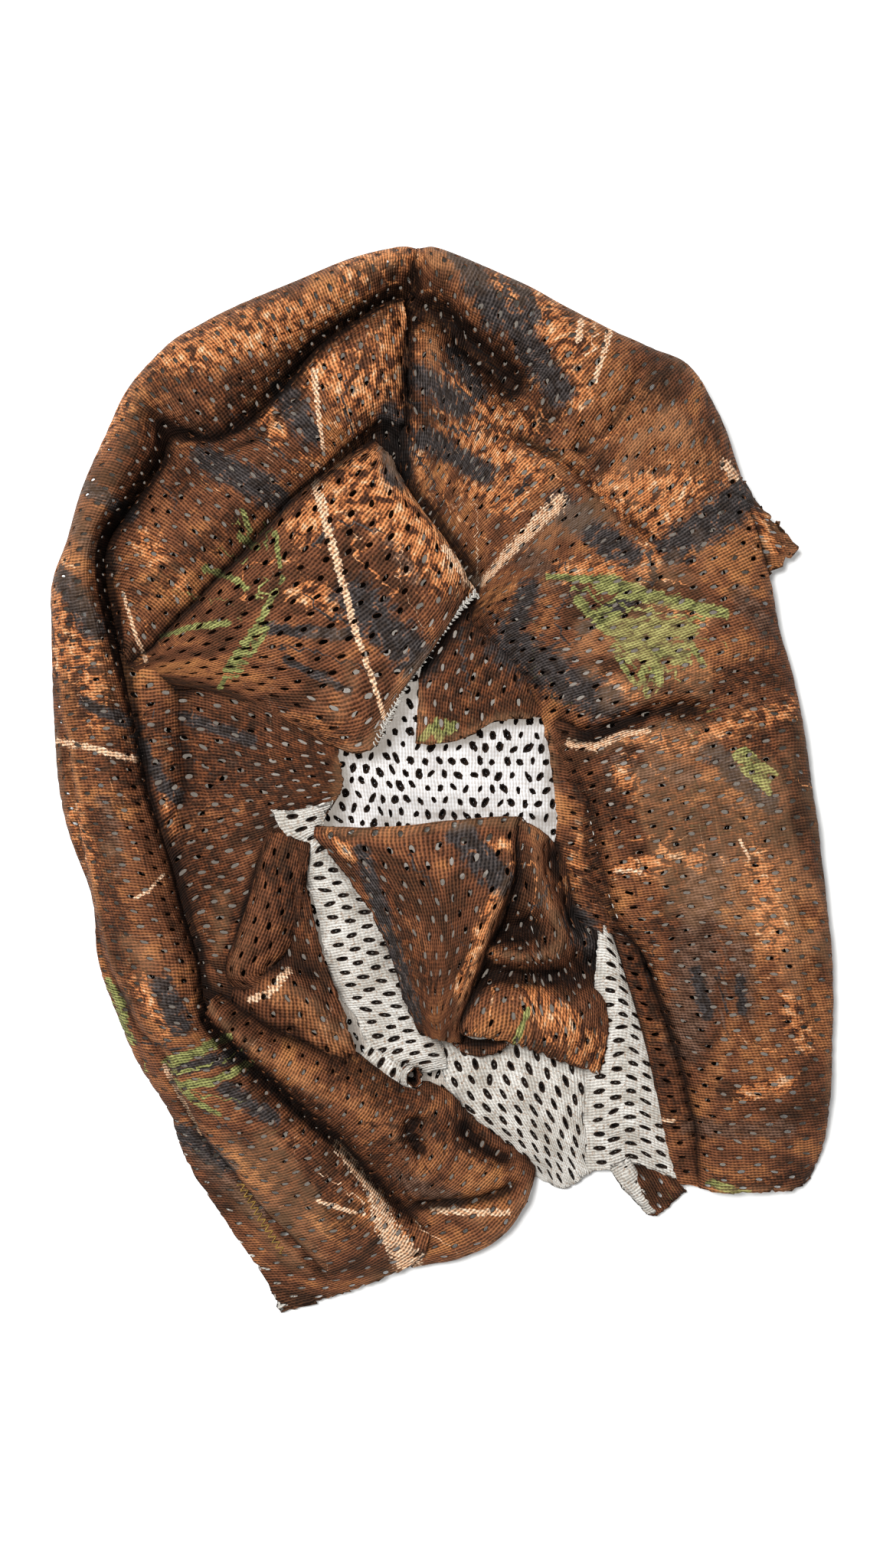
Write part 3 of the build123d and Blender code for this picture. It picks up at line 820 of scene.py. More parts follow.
LEFT_RIM = [
    [(-8.6, 158, 4), (-8.4, 162.5, 12), (-8.2, 168, 18),
     (-8, 172.5, 15.5), (-8, 174.8, 9), (-8, 173, 4), (-8.2, 167, 0.6)],
    [(-15, 158, 5), (-14.5, 162.5, 18), (-14, 168.5, 24.3),
     (-13.7, 173, 19), (-13.5, 175, 10), (-13.7, 173, 4), (-14, 167, 0.6)],
    [(-25, 152.5, 5), (-26, 157, 20.5), (-28, 164, 25),
     (-30, 168.5, 19), (-31, 170.8, 10), (-30.5, 169, 4), (-29, 163, 0.6)],
    [(-39, 142.5, 5), (-42, 148, 20.5), (-46, 156, 25),
     (-49, 161, 19), (-50.3, 163, 10), (-49.5, 161, 4), (-47, 155, 0.6)],
    [(-51, 128, 5), (-56, 136, 20.5), (-63, 147, 25),
     (-68, 152.5, 19), (-70, 154.6, 10), (-69, 152.5, 4), (-65, 148, 0.6)],
    [(-61, 118, 7.5), (-68, 127, 21.5), (-77, 139, 25),
     (-82.5, 144.5, 19), (-85, 146.6, 10), (-83.5, 144.5, 4), (-79, 140, 0.6)],
    [(-74, 111.5, 12), (-81, 120, 20.5), (-87.5, 131, 21),
     (-91.5, 137, 16), (-94, 139, 9), (-92.5, 137, 4), (-88, 133, 0.6)],
    [(-87.5, 113.5, 7), (-92.5, 119.5, 17), (-97, 123, 21.5),
     (-101, 126, 17), (-103.5, 127.5, 9), (-102, 126, 4), (-98, 122, 0.6)],
    [(-91.5, 105, 5), (-95, 108, 17.5), (-101, 111, 22.5),
     (-107, 113, 18), (-110, 114, 9.5), (-108.5, 113, 4), (-104, 110, 0.6)],
    [(-100, 93, 5), (-104, 94, 19.5), (-109, 95.5, 23),
     (-114.5, 96, 19), (-117.6, 96, 9.5), (-116, 95.5, 4), (-111, 93, 0.6)],
    [(-109, 80, 5), (-112, 80, 19.5), (-116, 80, 22), (-120, 79.5, 18),
     (-122.3, 79.5, 9.5), (-120.5, 79, 4), (-115, 78, 0.6)],
    [(-110, 68, 5), (-113, 67.5, 20), (-118, 66.5, 23.5),
     (-124, 66, 18.5), (-127.3, 65.5, 9.5), (-125, 65.5, 4), (-119, 65, 0.6)],
    [(-107.5, 54, 5), (-110.5, 53.5, 20), (-116, 52.5, 23.5),
     (-123, 52, 19), (-127.5, 52, 9.5), (-125.5, 52, 4), (-119, 52, 0.6)],
    [(-104, 41.5, 5), (-107.5, 41, 19.5), (-113.5, 40.5, 23.8),
     (-121.5, 40, 19.5), (-127.3, 40, 9.5), (-125.5, 40, 4), (-119, 40, 0.6)],
    [(-98.5, 19, 4.5), (-101.5, 19, 18), (-110, 19.5, 24),
     (-120.5, 19, 19.5), (-126.6, 19, 9.5), (-124.5, 19, 4), (-118, 19, 0.6)],
    [(-94.5, -1, 4), (-97.5, -0.5, 17), (-106, 0, 24),
     (-117.5, 0, 19.5), (-125, 0, 9.5), (-123, 0, 4), (-116, 0, 0.6)],
    [(-89, -20, 4), (-92, -19, 17), (-101.5, -17.5, 24), (-113.5, -17, 19.5),
     (-121.5, -17, 9.5), (-119.5, -17, 4), (-112, -17, 0.6)],
    [(-84, -39.5, 4.5), (-87.5, -38.7, 17), (-96, -37.5, 23.2),
     (-107, -37, 19), (-114.6, -37, 9.5), (-112.5, -37, 4), (-105, -37, 0.6)],
    [(-79, -57, 5), (-82.5, -56, 16.5), (-91, -55, 22.5),
     (-104, -55, 18), (-112.8, -55, 8.5), (-111, -55, 3.5), (-103, -55, 0.6)],
    [(-75.5, -74.5, 5.5), (-79.5, -75.5, 17), (-88, -74.5, 21.5),
     (-99.5, -72.5, 16), (-108.6, -70.5, 7), (-106.5, -70, 3), (-98, -68, 0.6)],
    [(-66.5, -85.5, 5), (-71.5, -88.5, 16.5), (-80, -90, 19.5),
     (-91.5, -92.5, 13), (-99.6, -92, 5), (-98, -91, 2.4), (-91, -87, 0.6)],
    [(-55, -96, 5), (-60, -101, 16), (-69.5, -104.5, 18),
     (-81.5, -106.5, 10.5), (-90, -107.5, 3.5), (-88.5, -106, 2), (-82, -102, 0.6)],
    [(-42, -107.5, 4.5), (-46.5, -113, 15), (-58, -118.5, 16.5),
     (-73.5, -121, 9), (-85, -121.5, 3), (-83.5, -120, 1.8), (-77, -116, 0.6)],
    [(-29.5, -119, 4.5), (-34, -125, 14), (-46, -132, 15.5),
     (-62, -136, 8.5), (-76, -137, 3), (-74.5, -135.5, 1.8), (-69, -131, 0.6)],
    [(-19.5, -130.5, 4.5), (-23, -136, 13.5), (-33, -144.5, 14),
     (-48, -150, 8), (-65.5, -151.5, 3), (-64, -150, 1.8), (-58, -146, 0.6)],
    [(-12, -138, 4.5), (-15, -144, 12.5), (-22, -151.5, 12),
     (-37, -160, 7.5), (-57.5, -163, 2.6), (-56, -161.5, 1.6), (-50, -157, 0.6)],
    [(-3, -143, 4.5), (-4.5, -150, 9.5), (-9, -157.5, 6.5),
     (-34, -168.2, 4), (-52.8, -174.5, 2), (-51, -172.5, 1.4), (-44, -166, 0.6)],
]
LEFT_INNER = [
    [(-8, 62, 6), (-9, 85, 6), (-10, 112, 7), (-10, 118.5, 11), (-10.2, 127, 12.5),
     (-10.8, 140, 13), (-11.8, 152, 12), (-12.5, 158.5, 9), (-12.7, 160.5, 4)],
    [(-10, 60, 6), (-12, 84, 6), (-15, 112, 7), (-15, 119, 16), (-15.5, 127, 20),
     (-16.5, 140, 21), (-17.5, 150.5, 19.3), (-18, 156.5, 12), (-18.5, 158.5, 5)],
    [(-14, 56, 6), (-16, 82, 6), (-20, 112, 7), (-20, 119.5, 17.5), (-20.5, 126, 22),
     (-22, 137, 23.5), (-24.5, 147.5, 20.5), (-26, 152.7, 11), (-27, 154.5, 4)],
    [(-18, 50, 6), (-20, 80, 6), (-27, 107, 7), (-29, 113, 17.5), (-31, 119, 22.5),
     (-34, 128, 24), (-37.5, 137, 20.5), (-39.5, 142.3, 11), (-41, 144.5, 4)],
    [(-22, 44, 6), (-25, 76, 6), (-32, 101, 7), (-34, 109, 17.5), (-38, 113, 22.5),
     (-43, 119, 24), (-48.5, 124.5, 20.5), (-51.5, 128.3, 11.5), (-53, 130.5, 4)],
    [(-28, 38, 6), (-31, 71, 6), (-38, 95, 7), (-41, 102, 17.5), (-46, 106, 22.5),
     (-52, 111, 23.5), (-58, 115.2, 20.5), (-61.5, 118.5, 12), (-63.5, 121, 5)],
    [(-36, 34, 6), (-38, 64, 6), (-45, 88, 7), (-49, 95, 17.5), (-54, 99, 22.5),
     (-61, 104.5, 23.2), (-68, 108.2, 20.5), (-73, 112, 14), (-76, 115, 8)],
    [(-44, 30, 6), (-46, 56, 6), (-52, 80, 7), (-57, 88, 17.5), (-62, 92, 22.5),
     (-70, 98, 23), (-79, 105.5, 20), (-86, 112, 12), (-89.5, 115.5, 5)],
    [(-54, 30, 6), (-55, 50, 6), (-60, 72, 7), (-64.5, 80, 17.5), (-69, 85, 22.5),
     (-76, 91, 22.8), (-84, 98, 19), (-90, 103.5, 11), (-92.5, 105.5, 4)],
    [(-63, 30, 6), (-63, 46, 6), (-67, 64, 7), (-72, 71.5, 17.5), (-77, 76, 22.3),
     (-83, 81, 22.5), (-91, 87, 18.5), (-98, 92, 10.5), (-101, 93.5, 4)],
    [(-71, 31, 6), (-70, 42, 6), (-74, 56.5, 7), (-79, 64, 17.5), (-83, 68, 22),
     (-89, 72, 22), (-97, 76, 18), (-106.5, 79.5, 10), (-110, 80, 4)],
    [(-79, 32, 6), (-78, 39, 6), (-82, 49, 7), (-87, 56, 17), (-91, 60, 21.3),
     (-96, 63.5, 21), (-101, 66, 17.5), (-108, 67.5, 10), (-111, 68, 4)],
    [(-86, 32, 6), (-86, 36, 6), (-90, 41, 7), (-95, 47.5, 16), (-97.5, 51, 19.5),
     (-100, 53, 19), (-102.5, 53.8, 16.5), (-106, 54, 10), (-108.5, 54, 4)],
    [(-93, 32, 6), (-94, 34, 6), (-97, 36, 7), (-101.5, 40, 13), (-102, 41.3, 14.8),
     (-102.6, 42, 15), (-103.2, 42.3, 14), (-104, 42.4, 10), (-105.5, 42.5, 5)],
]
CAPE_ROLL = [
    [(-70, -68, 8), (-74, -69.5, 13.5), (-75, -71.5, 16),
     (-75.8, -73.2, 16.2), (-76.6, -75, 13), (-77.4, -76.6, 8), (-78.5, -78, 5)],
    [(-57, -75, 8), (-61, -79, 14.5), (-63, -81.3, 18), (-64.6, -83.5, 18.4),
     (-66, -85.5, 14.5), (-67.3, -87.5, 8.5), (-69, -89, 4)],
    [(-45, -80, 8), (-47.5, -85, 15), (-49, -88, 19), (-51.3, -92, 19.8),
     (-53.8, -95.5, 15), (-55.6, -98, 8.5), (-57.5, -100, 4)],
    [(-28, -88, 8), (-30, -93, 15), (-32, -97, 19.5), (-35.3, -102, 20.3),
     (-39, -106.3, 16), (-42.6, -109.5, 8.5), (-44.5, -112, 4)],
    [(-14, -95, 8), (-15, -100, 14), (-17, -105, 18.5), (-21, -111, 19.3),
     (-26, -116.3, 15.5), (-30.2, -121, 8), (-32, -123.5, 4)],
    [(0, -99, 8), (0, -104, 12.5), (-2, -109, 16), (-8, -118, 17.5),
     (-15, -126.3, 14.5), (-20.2, -132, 8), (-21.6, -134.5, 4)],
    [(10, -109, 6), (9, -114, 10), (7, -119, 13.5), (1, -127, 15.5),
     (-7, -134, 13.2), (-12.7, -139.2, 8), (-13.8, -141.5, 4.5)],
    [(20, -117, 4), (19.5, -121, 8), (17, -125, 11),
     (10, -132, 13), (2, -138, 12), (-6, -144, 9), (-9.5, -149, 5)],
    [(30, -124, 2.5), (30, -127, 5), (28.5, -131, 8),
     (25, -139, 9.5), (17, -148.5, 8.5), (4, -155, 7), (-9, -158, 5)],
    [(30, -124, 1), (31, -127.5, 2.5), (30, -132, 3.5),
     (26.5, -140, 3.5), (18.5, -149.8, 3), (5, -156.3, 3), (-10, -158.8, 3)],
]
RIGHT_HOOD = [
    [(-13, 96, 6), (-13.5, 110, 8), (-14, 127, 9), (-14.5, 144, 9), (-15, 154.5, 4), (-9.6, 161.5, 10),
     (-8.3, 168, 18), (-8.1, 172.5, 15.5), (-8, 174.8, 9), (-8, 173, 4), (-8, 167, 0.6)],
    [(-11, 95, 10), (-5.5, 109, 16.5), (-4.5, 126, 20), (-4.3, 143, 18.5), (-3.5, 154, 6.5),
     (-2.6, 160.5, 18), (-2.2, 167.5, 24), (-2, 172.5, 19),
     (-1.9, 174.6, 10), (-2, 173, 4), (-2.2, 167, 0.6)],
    [(-10, 92, 11), (-2, 106, 17.5), (1, 121, 21), (2.5, 136, 20), (4.5, 148.5, 8),
     (5, 156, 20), (8, 163, 24.5), (10, 168, 19), (11, 169.9, 10), (10.5, 168, 4), (9, 162, 0.6)],
    [(-10, 88, 11), (-1, 102, 17), (5, 117, 21), (9, 131, 19.5), (13.5, 140, 9), (17, 147, 20.5),
     (21.5, 156, 24.5), (24.5, 161.5, 19), (25.5, 163.6, 10), (25, 161.5, 4), (22, 156, 0.6)],
    [(-6, 83, 11), (3, 96, 17), (10, 109, 21), (16, 121, 20), (22, 132, 10), (28, 140, 21),
     (34, 149, 24.5), (38.5, 154, 19), (40, 156, 10), (39, 154, 4), (36, 149, 0.6)],
    [(-2, 77, 11), (6, 89, 17), (15, 101, 20.5), (23, 112, 19.5), (30.5, 122, 12), (38, 131, 21),
     (47, 140.5, 24.5), (53, 146.3, 19), (55.5, 148, 10), (54, 146, 4), (50, 142, 0.6)],
    [(3, 71, 11), (11, 82, 17), (21, 92, 20), (31, 101, 19.5), (40, 109, 17.5), (48, 120, 20.5),
     (58, 132, 23), (65.5, 139.7, 17.5), (68.5, 142.6, 9.5), (67, 141, 4), (62, 136, 0.6)],
    [(8, 66, 11), (17, 74, 17.5), (29, 83, 20.5), (42, 94, 19), (53, 104, 19.5),
     (62, 115, 20.5), (71, 126, 22), (78, 134, 16.5), (81, 136.8, 9), (79, 135, 4), (74, 130, 0.6)],
    [(8, 57, 10), (13.5, 61, 16.5), (24, 68, 21), (40, 79, 21), (55, 89, 20.5), (68, 99, 21),
     (79, 110, 21), (87, 119, 15.5), (90.5, 122, 8.5), (89, 120.5, 4), (84, 116, 0.6)],
    [(8.5, 50, 9), (11.5, 54, 15), (20, 60, 21), (38, 68, 22), (56, 77, 21.5), (71, 86, 21.5),
     (84, 96, 20), (93, 103.5, 14.5), (96.5, 106, 8), (95, 105, 3.6), (90, 102, 0.6)],
    [(12, 43, 9), (15, 47, 14), (23, 52, 20), (40, 58, 22), (58, 65, 21.5), (74, 73, 21),
     (88, 81, 19.5), (97.5, 87.5, 14), (101.5, 90, 8), (100, 89, 3.6), (94, 86, 0.6)],
    [(21, 34, 9), (25, 38, 14), (32, 42, 20), (47, 46, 22), (64, 52, 21.5), (79, 58, 21),
     (92, 64, 19), (102.5, 68.5, 14), (107, 70, 8), (105, 69.5, 3.6), (98, 68, 0.6)],
    [(32, 22, 9), (35.5, 25, 14), (41, 28, 19.5), (53, 32, 21.5), (68, 37, 21.5), (83, 42, 21),
     (96, 46, 18.5), (106.5, 49, 13.5), (111, 50, 8), (109, 50, 3.6), (102, 50, 0.6)],
    [(36, 9, 9), (40, 12, 13.5), (45, 14, 17.5), (56, 18, 20), (71, 23, 21), (86, 28, 20.5),
     (99, 32, 18), (110.5, 34.5, 13.5), (115.3, 35.5, 8), (113.5, 35.5, 3.6), (106, 35, 0.6)],
    [(40, -3, 9), (44.5, -1, 14), (50, 1, 19), (61, 4, 21), (76, 8, 21), (90, 12, 20),
     (102, 15, 17.5), (113.8, 17, 13.5), (118.8, 17, 8), (117, 17, 3.6), (110, 17, 0.6)],
    [(44, -22, 9), (48.5, -20, 14.5), (54, -18, 19.5), (65, -16, 21), (79, -13, 21), (92, -11, 20),
     (105, -9, 17.5), (117.3, -7, 13.5), (122.4, -7, 8), (120.5, -7, 3.6), (113, -7, 0.6)],
    [(48, -42, 9), (53.5, -40, 14.5), (59, -39, 19.5), (69, -38, 21), (82, -36, 21), (95, -34, 20),
     (108, -33, 17.5), (120.5, -32, 13.5), (125.5, -32, 8), (123.5, -32, 3.6), (116, -32, 0.6)],
    [(56, -60, 6), (64, -58, 8.5), (69, -58, 16.5), (76, -58, 20.5), (86, -58, 20.5),
     (98, -58, 19.5), (110, -58, 17), (122.5, -58, 13), (128, -58, 8), (126, -58, 3.6), (119, -58, 0.6)],
    [(64, -82, 5), (72, -80, 7.5), (77.5, -80, 15.5), (84, -80, 19.5), (92, -80, 19.5), (102, -80, 18.5),
     (112, -80, 16.5), (123.3, -80, 12.5), (128.2, -80, 8), (126.5, -80, 3.6), (119, -80, 0.6)],
    [(71, -103, 4.5), (78.5, -102, 6.5), (84, -102, 13.5), (90, -102, 17.5), (96, -102, 17.5),
     (105, -102, 16.5), (114, -102, 14.5), (123.3, -102, 11),
     (127.5, -102, 7), (125.5, -102, 3.4), (118, -102, 0.6)],
    [(74, -121, 3.5), (82, -120, 5), (87, -120, 11), (92.5, -120, 14), (98, -120, 14), (106, -120, 13),
     (114, -120, 11), (122.2, -119.5, 8), (125.7, -119, 5), (124, -118.5, 2.6), (117, -117, 0.6)],
    [(79, -131, 2), (83, -132, 3), (87, -133.5, 6), (92, -134, 7.5), (98, -134, 7.5), (106, -133.7, 7),
     (112, -133.6, 6), (118.5, -132.6, 4), (122, -130, 2.5), (120.5, -129, 1.6), (114, -127, 0.6)],
]
BROW_FLAP = [
    [(-22, 113, 8), (-34, 106, 9), (-47, 95, 12.5), (-60, 81, 12.5),
     (-72, 69, 12.5), (-84, 57, 12), (-95, 46, 11.5), (-103, 40, 11)],
    [(-21, 111, 12), (-31, 104.5, 13.5), (-42, 92, 16), (-54, 78.5, 16),
     (-67, 66, 16), (-79, 55, 15.5), (-91, 45, 14), (-101.5, 38.8, 12.2)],
    [(-19.2, 108.8, 15.5), (-25, 99, 18), (-35, 87, 19), (-47, 73.5, 19),
     (-61, 61, 18.5), (-75, 51.5, 17.5), (-88, 42.5, 15.5), (-100, 37.6, 13)],
    [(-16.5, 105.8, 17.5), (-17, 93, 19.5), (-26, 79.5, 20.5), (-39, 66, 20),
     (-54, 54, 19.5), (-70, 46, 18), (-85, 39.5, 16), (-98.5, 36.4, 13)],
    [(-13, 99, 17), (-9, 86.5, 20), (-17, 71.5, 21), (-31, 58, 20.5),
     (-48, 46.5, 20), (-65, 40.5, 18), (-82, 36.5, 15.5), (-97, 35.3, 12.5)],
    [(-8.5, 92, 17.5), (-2, 80, 20.5), (-8.5, 63.5, 21), (-23, 49.5, 20.5),
     (-41, 38.5, 19.5), (-60, 34.5, 17.5), (-79, 33.3, 15), (-95.5, 34.4, 12)],
    [(-3.5, 84.5, 17.5), (4, 73, 20), (-1.5, 56.5, 20.5), (-16.5, 41.5, 19.5),
     (-35, 31, 18.5), (-56, 29.8, 16.5), (-77, 31, 14.5), (-94, 33.8, 11.5)],
    [(2, 75.5, 17), (8, 67, 18.5), (4, 54.5, 18.5), (-11, 34, 17.5),
     (-28, 20.5, 16.5), (-50, 22.5, 15), (-74, 29.8, 13), (-92, 33, 11)],
    [(12, 61.5, 16), (9.5, 60.3, 16.4), (0.5, 50, 16.6), (-11.5, 32, 15.5),
     (-21.5, 12.5, 14.5), (-34, 11.8, 13.5), (-66, 28.5, 12), (-90, 31.3, 10.5)],
]
INNER_BROW = [
    [(4, 60, 13), (-1, 48, 12), (-6.5, 37, 11.5), (-7.5, 25, 11), (-8.3, 13.5, 10)],
    [(10, 60, 13), (6, 47, 13.5), (2, 36, 13), (0, 25, 12), (-1, 13.3, 10.5)],
    [(16, 58, 13), (14, 46, 14), (11, 36, 13), (9, 27, 12), (8, 15.3, 10.5)],
    [(22, 55, 13), (22, 44, 13.5), (20, 36, 13), (18, 28, 12), (17, 20.5, 10.5)],
    [(30, 48, 13), (31, 41, 13), (30, 34, 12.5), (28, 28, 12), (27, 21.3, 10.5)],
    [(38, 40, 12), (40, 35, 12), (40, 30, 11.5), (38, 26, 11), (36.5, 22.5, 10.5)],
]
LEFT_CHEEK = [
    [(-106, 44, 9), (-105, 25, 8.5), (-103, 8, 8),
     (-100, -10, 8), (-95, -30, 7.5), (-88, -50, 7.5), (-82, -70, 7)],
    [(-98, 42, 13), (-96.5, 25, 14), (-95, 10, 13.8),
     (-93, -7, 12.5), (-90, -26, 9.5), (-85, -48, 8), (-79, -71, 7.5)],
    [(-92, 41, 13.5), (-90, 26, 14), (-88.5, 11, 13.5),
     (-87.5, -4, 12), (-87, -22, 9), (-82, -45, 8), (-76, -73, 8)],
    [(-86, 40, 11), (-84, 27, 9.5), (-83.5, 12, 8.8), (-83, -3, 8.6),
     (-82, -19, 8.4), (-78.5, -43, 8.5), (-73, -75, 8.5)],
    [(-76, 38, 13), (-74, 25, 12), (-73, 11, 11.5), (-72, -3, 11.2),
     (-71.5, -17, 11), (-72, -42, 11), (-69.5, -77, 9.5)],
    [(-64, 36, 14), (-62, 22, 13.5), (-61, 9, 13), (-60, -2.5, 12.8),
     (-59.5, -14, 12.6), (-65, -40, 12.5), (-66, -79, 10.5)],
    [(-52, 30, 14.5), (-50, 17, 14), (-49, 6, 13.5), (-48, -2, 13),
     (-50.5, -10.5, 12.8), (-60, -36, 12.8), (-62, -80, 11)],
    [(-42, 24, 14), (-41, 13.5, 13.5), (-40, 5.5, 13),
     (-39.5, -1.5, 12.5), (-43, -9, 12), (-56, -33, 12.5), (-59, -80, 11)],
    [(-33, 18, 13), (-33.5, 10.5, 12.4), (-32.6, 4.5, 11.8),
     (-32.3, -1, 11.2), (-36, -7.3, 10.8), (-52, -30, 12), (-57, -80, 11)],
]
CHEEK_PLEAT = [
    [(-57, -14, 12), (-55, -15, 13.6), (-51, -16.5, 14.6), (-46.5, -18, 14.4), (-42.5, -19.5, 12.5)],
    [(-60.5, -27, 11.5), (-58.8, -28, 16), (-54.5, -29.5, 18.5), (-49.5, -31, 17), (-44.5, -32.5, 13.5)],
    [(-63.5, -38, 11.5), (-61.8, -39, 17.5), (-57.5, -40.5, 20), (-52, -42, 18), (-46.5, -43.5, 13.3)],
    [(-67.3, -49.5, 11), (-65.5, -50, 17), (-61.5, -51, 19.8), (-56, -52.5, 17.5), (-50.5, -54, 12.5)],
    [(-70.5, -60, 10.5), (-69, -60.5, 15), (-65, -61, 17.6), (-59.5, -60.8, 16), (-54.5, -59.5, 12.3)],
    [(-68, -67, 10), (-66, -66.3, 12.6), (-61.5, -65.2, 15), (-57, -62.8, 14), (-54, -60, 12)],
    [(-58.5, -71.5, 9.8), (-57.5, -69.3, 11.8), (-55.5, -66.2, 13.6), (-53, -63, 13), (-51.5, -60.5, 11.8)],
]
NECK_PLEATS = [
    [(-53, -13, 13), (-57, -30, 11.5), (-61, -45, 11), (-66, -58, 11), (-68, -69, 11), (-70, -80, 9)],
    [(-50.5, -17, 14), (-53, -32, 12.5), (-56, -46, 12), (-58, -57, 11.5), (-59, -67, 15), (-60, -85, 8)],
    [(-47, -20, 15), (-49.5, -34, 14.5), (-50.5, -47, 13),
     (-50, -58, 11.5), (-47.5, -68, 19), (-47, -90, 8)],
    [(-44.5, -22, 14), (-46.5, -34, 15), (-46, -48, 14), (-43.5, -60, 10.5), (-39, -72, 19), (-35, -96, 8)],
    [(-42.5, -22, 10), (-44, -32, 11.5), (-41, -45, 11.5),
     (-38, -58, 10.5), (-33, -70.5, 13), (-25, -97, 7.5)],
]
NECK_STRIP_LEFT = [
    [(-55, -8.5, 14.6), (-49, -8.6, 14.6), (-42, -7.4, 14.2), (-35.5, -5.5, 12.4)],
    [(-50.5, -16.5, 14.2), (-46.5, -15, 14.4), (-42, -13.5, 13.8), (-38.5, -12.5, 11)],
    [(-43.5, -22, 10.5), (-41.5, -20.5, 12), (-39.5, -19, 12), (-37, -19, 10)],
    [(-45, -30, 10), (-41, -29.5, 12), (-36.5, -29, 11.5), (-30, -29, 9)],
    [(-41, -40, 9.5), (-36.5, -39.5, 11.5), (-31, -38.5, 11), (-23, -38, 8)],
    [(-38.5, -54, 9), (-32.5, -53, 11), (-26, -52, 10.5), (-15, -50, 7)],
    [(-35, -66, 8.5), (-29, -65, 10.5), (-22, -64, 10), (-10, -62, 6.5)],
    [(-28, -77, 7.5), (-23, -76.5, 9.5), (-17, -76, 9), (-6, -75, 6)],
    [(-23.5, -89, 6.5), (-18.5, -86.5, 9.5), (-11.5, -84.5, 9.5), (-1, -83, 7)],
    [(-20, -97, 5.5), (-14.5, -92, 9), (-7.5, -89.5, 10), (1, -88, 8)],
    [(-13, -102, 4.5), (-10, -97, 6), (-5, -94.5, 7), (2, -93.5, 6.5)],
]
NECK_PANEL = [
    [(-4, -84, 7), (0, -95, 6), (5, -105, 5), (13, -114, 4), (22, -122, 3), (31, -129.5, 2.2)],
    [(8, -82, 8), (11, -93, 7), (15, -103, 6.2), (21, -112, 5.2), (28, -121, 4), (35, -131.5, 2.6)],
    [(20, -82, 8.5), (22, -92, 7.8), (25, -102, 7), (30, -112, 5.8), (35, -122, 4.4), (40, -133.5, 2.8)],
    [(32, -84, 8.5), (33, -93, 8), (35, -103, 7), (38, -113, 6), (41, -122, 4.6), (44.5, -131.5, 3)],
    [(42, -88, 8), (43, -96, 7.6), (44, -105, 6.8), (45, -114, 5.8), (46.5, -121, 4.8), (49, -128, 3.2)],
    [(52, -92, 5), (51.5, -99, 5), (50.5, -107, 4.6), (50, -115, 4), (51, -121, 3.4), (54, -127, 2.6)],
]
NECK_STRIP_RIGHT = [
    [(51, -45, 12), (50.5, -58, 11), (49.5, -72, 9),
     (48, -86, 7), (47, -98, 6), (46.5, -112, 5), (47.5, -127, 3.5)],
    [(52.5, -46, 13), (54, -58, 12.5), (55, -72, 11),
     (55, -85, 9.5), (54.5, -97, 8.5), (54, -111, 7.5), (55, -126.5, 5)],
    [(54, -47.5, 13), (57.5, -60, 12.5), (60, -73, 11.2),
     (61, -85, 10), (61.5, -97, 9), (62, -110, 8), (63, -124.5, 5.5)],
    [(57, -51, 10), (62, -64, 9.5), (66, -77, 9), (69, -89, 8.5),
     (72, -101, 8), (74.5, -114, 7), (77.5, -130, 4.5)],
]
COVER_FRONT = [
    [(-36, -17, 8.5), (-24, -20, 8.5), (-10, -19.5, 8.5),
     (4, -18.5, 8.5), (17, -18, 9), (25, -18, 10), (27, -20, 9)],
    [(-40.5, -13.3, 13), (-28, -13.9, 13.5), (-12, -13.4, 13.5),
     (3, -11.6, 14), (16, -10.4, 14.5), (25, -10.3, 15), (27.5, -12, 11)],
    [(-41, -17.5, 14), (-29, -19, 17), (-13, -19, 17.5),
     (2, -18, 17), (14, -17, 18), (22.5, -17.5, 19.5), (25.5, -18, 13)],
    [(-34, -26, 13), (-24, -27, 17), (-10, -28, 18), (2, -28, 17.5),
     (13, -28, 18.5), (21.8, -29, 21.5), (24.5, -30, 14)],
    [(-26, -37, 12.5), (-17, -38, 17), (-6, -39, 18.5), (3, -39, 18),
     (10.5, -39.5, 19), (17.7, -40, 22), (20.5, -41.5, 13.5)],
    [(-19.5, -49, 12), (-12.5, -50, 17), (-3.5, -50.5, 18.5),
     (3, -51, 18), (8.5, -51.5, 19.2), (13.2, -52, 21.8), (16, -53.5, 13)],
    [(-15, -61, 11.5), (-9.5, -62, 16.5), (-3, -62.5, 18),
     (1.8, -63, 18), (5.5, -63.5, 19), (8.7, -64, 21), (11.5, -65.5, 12.5)],
    [(-11.5, -72, 11), (-7.5, -73, 15.5), (-3, -73.5, 17),
     (0, -74, 17), (2.8, -74.3, 17.7), (5.2, -74.6, 18.8), (8, -76, 12)],
    [(-7, -81.5, 9.5), (-4.5, -82.3, 12), (-1.5, -83, 13.5),
     (0.5, -83.4, 13.8), (2.3, -83.7, 14), (4, -84, 14), (6.5, -84.5, 10.5)],
]
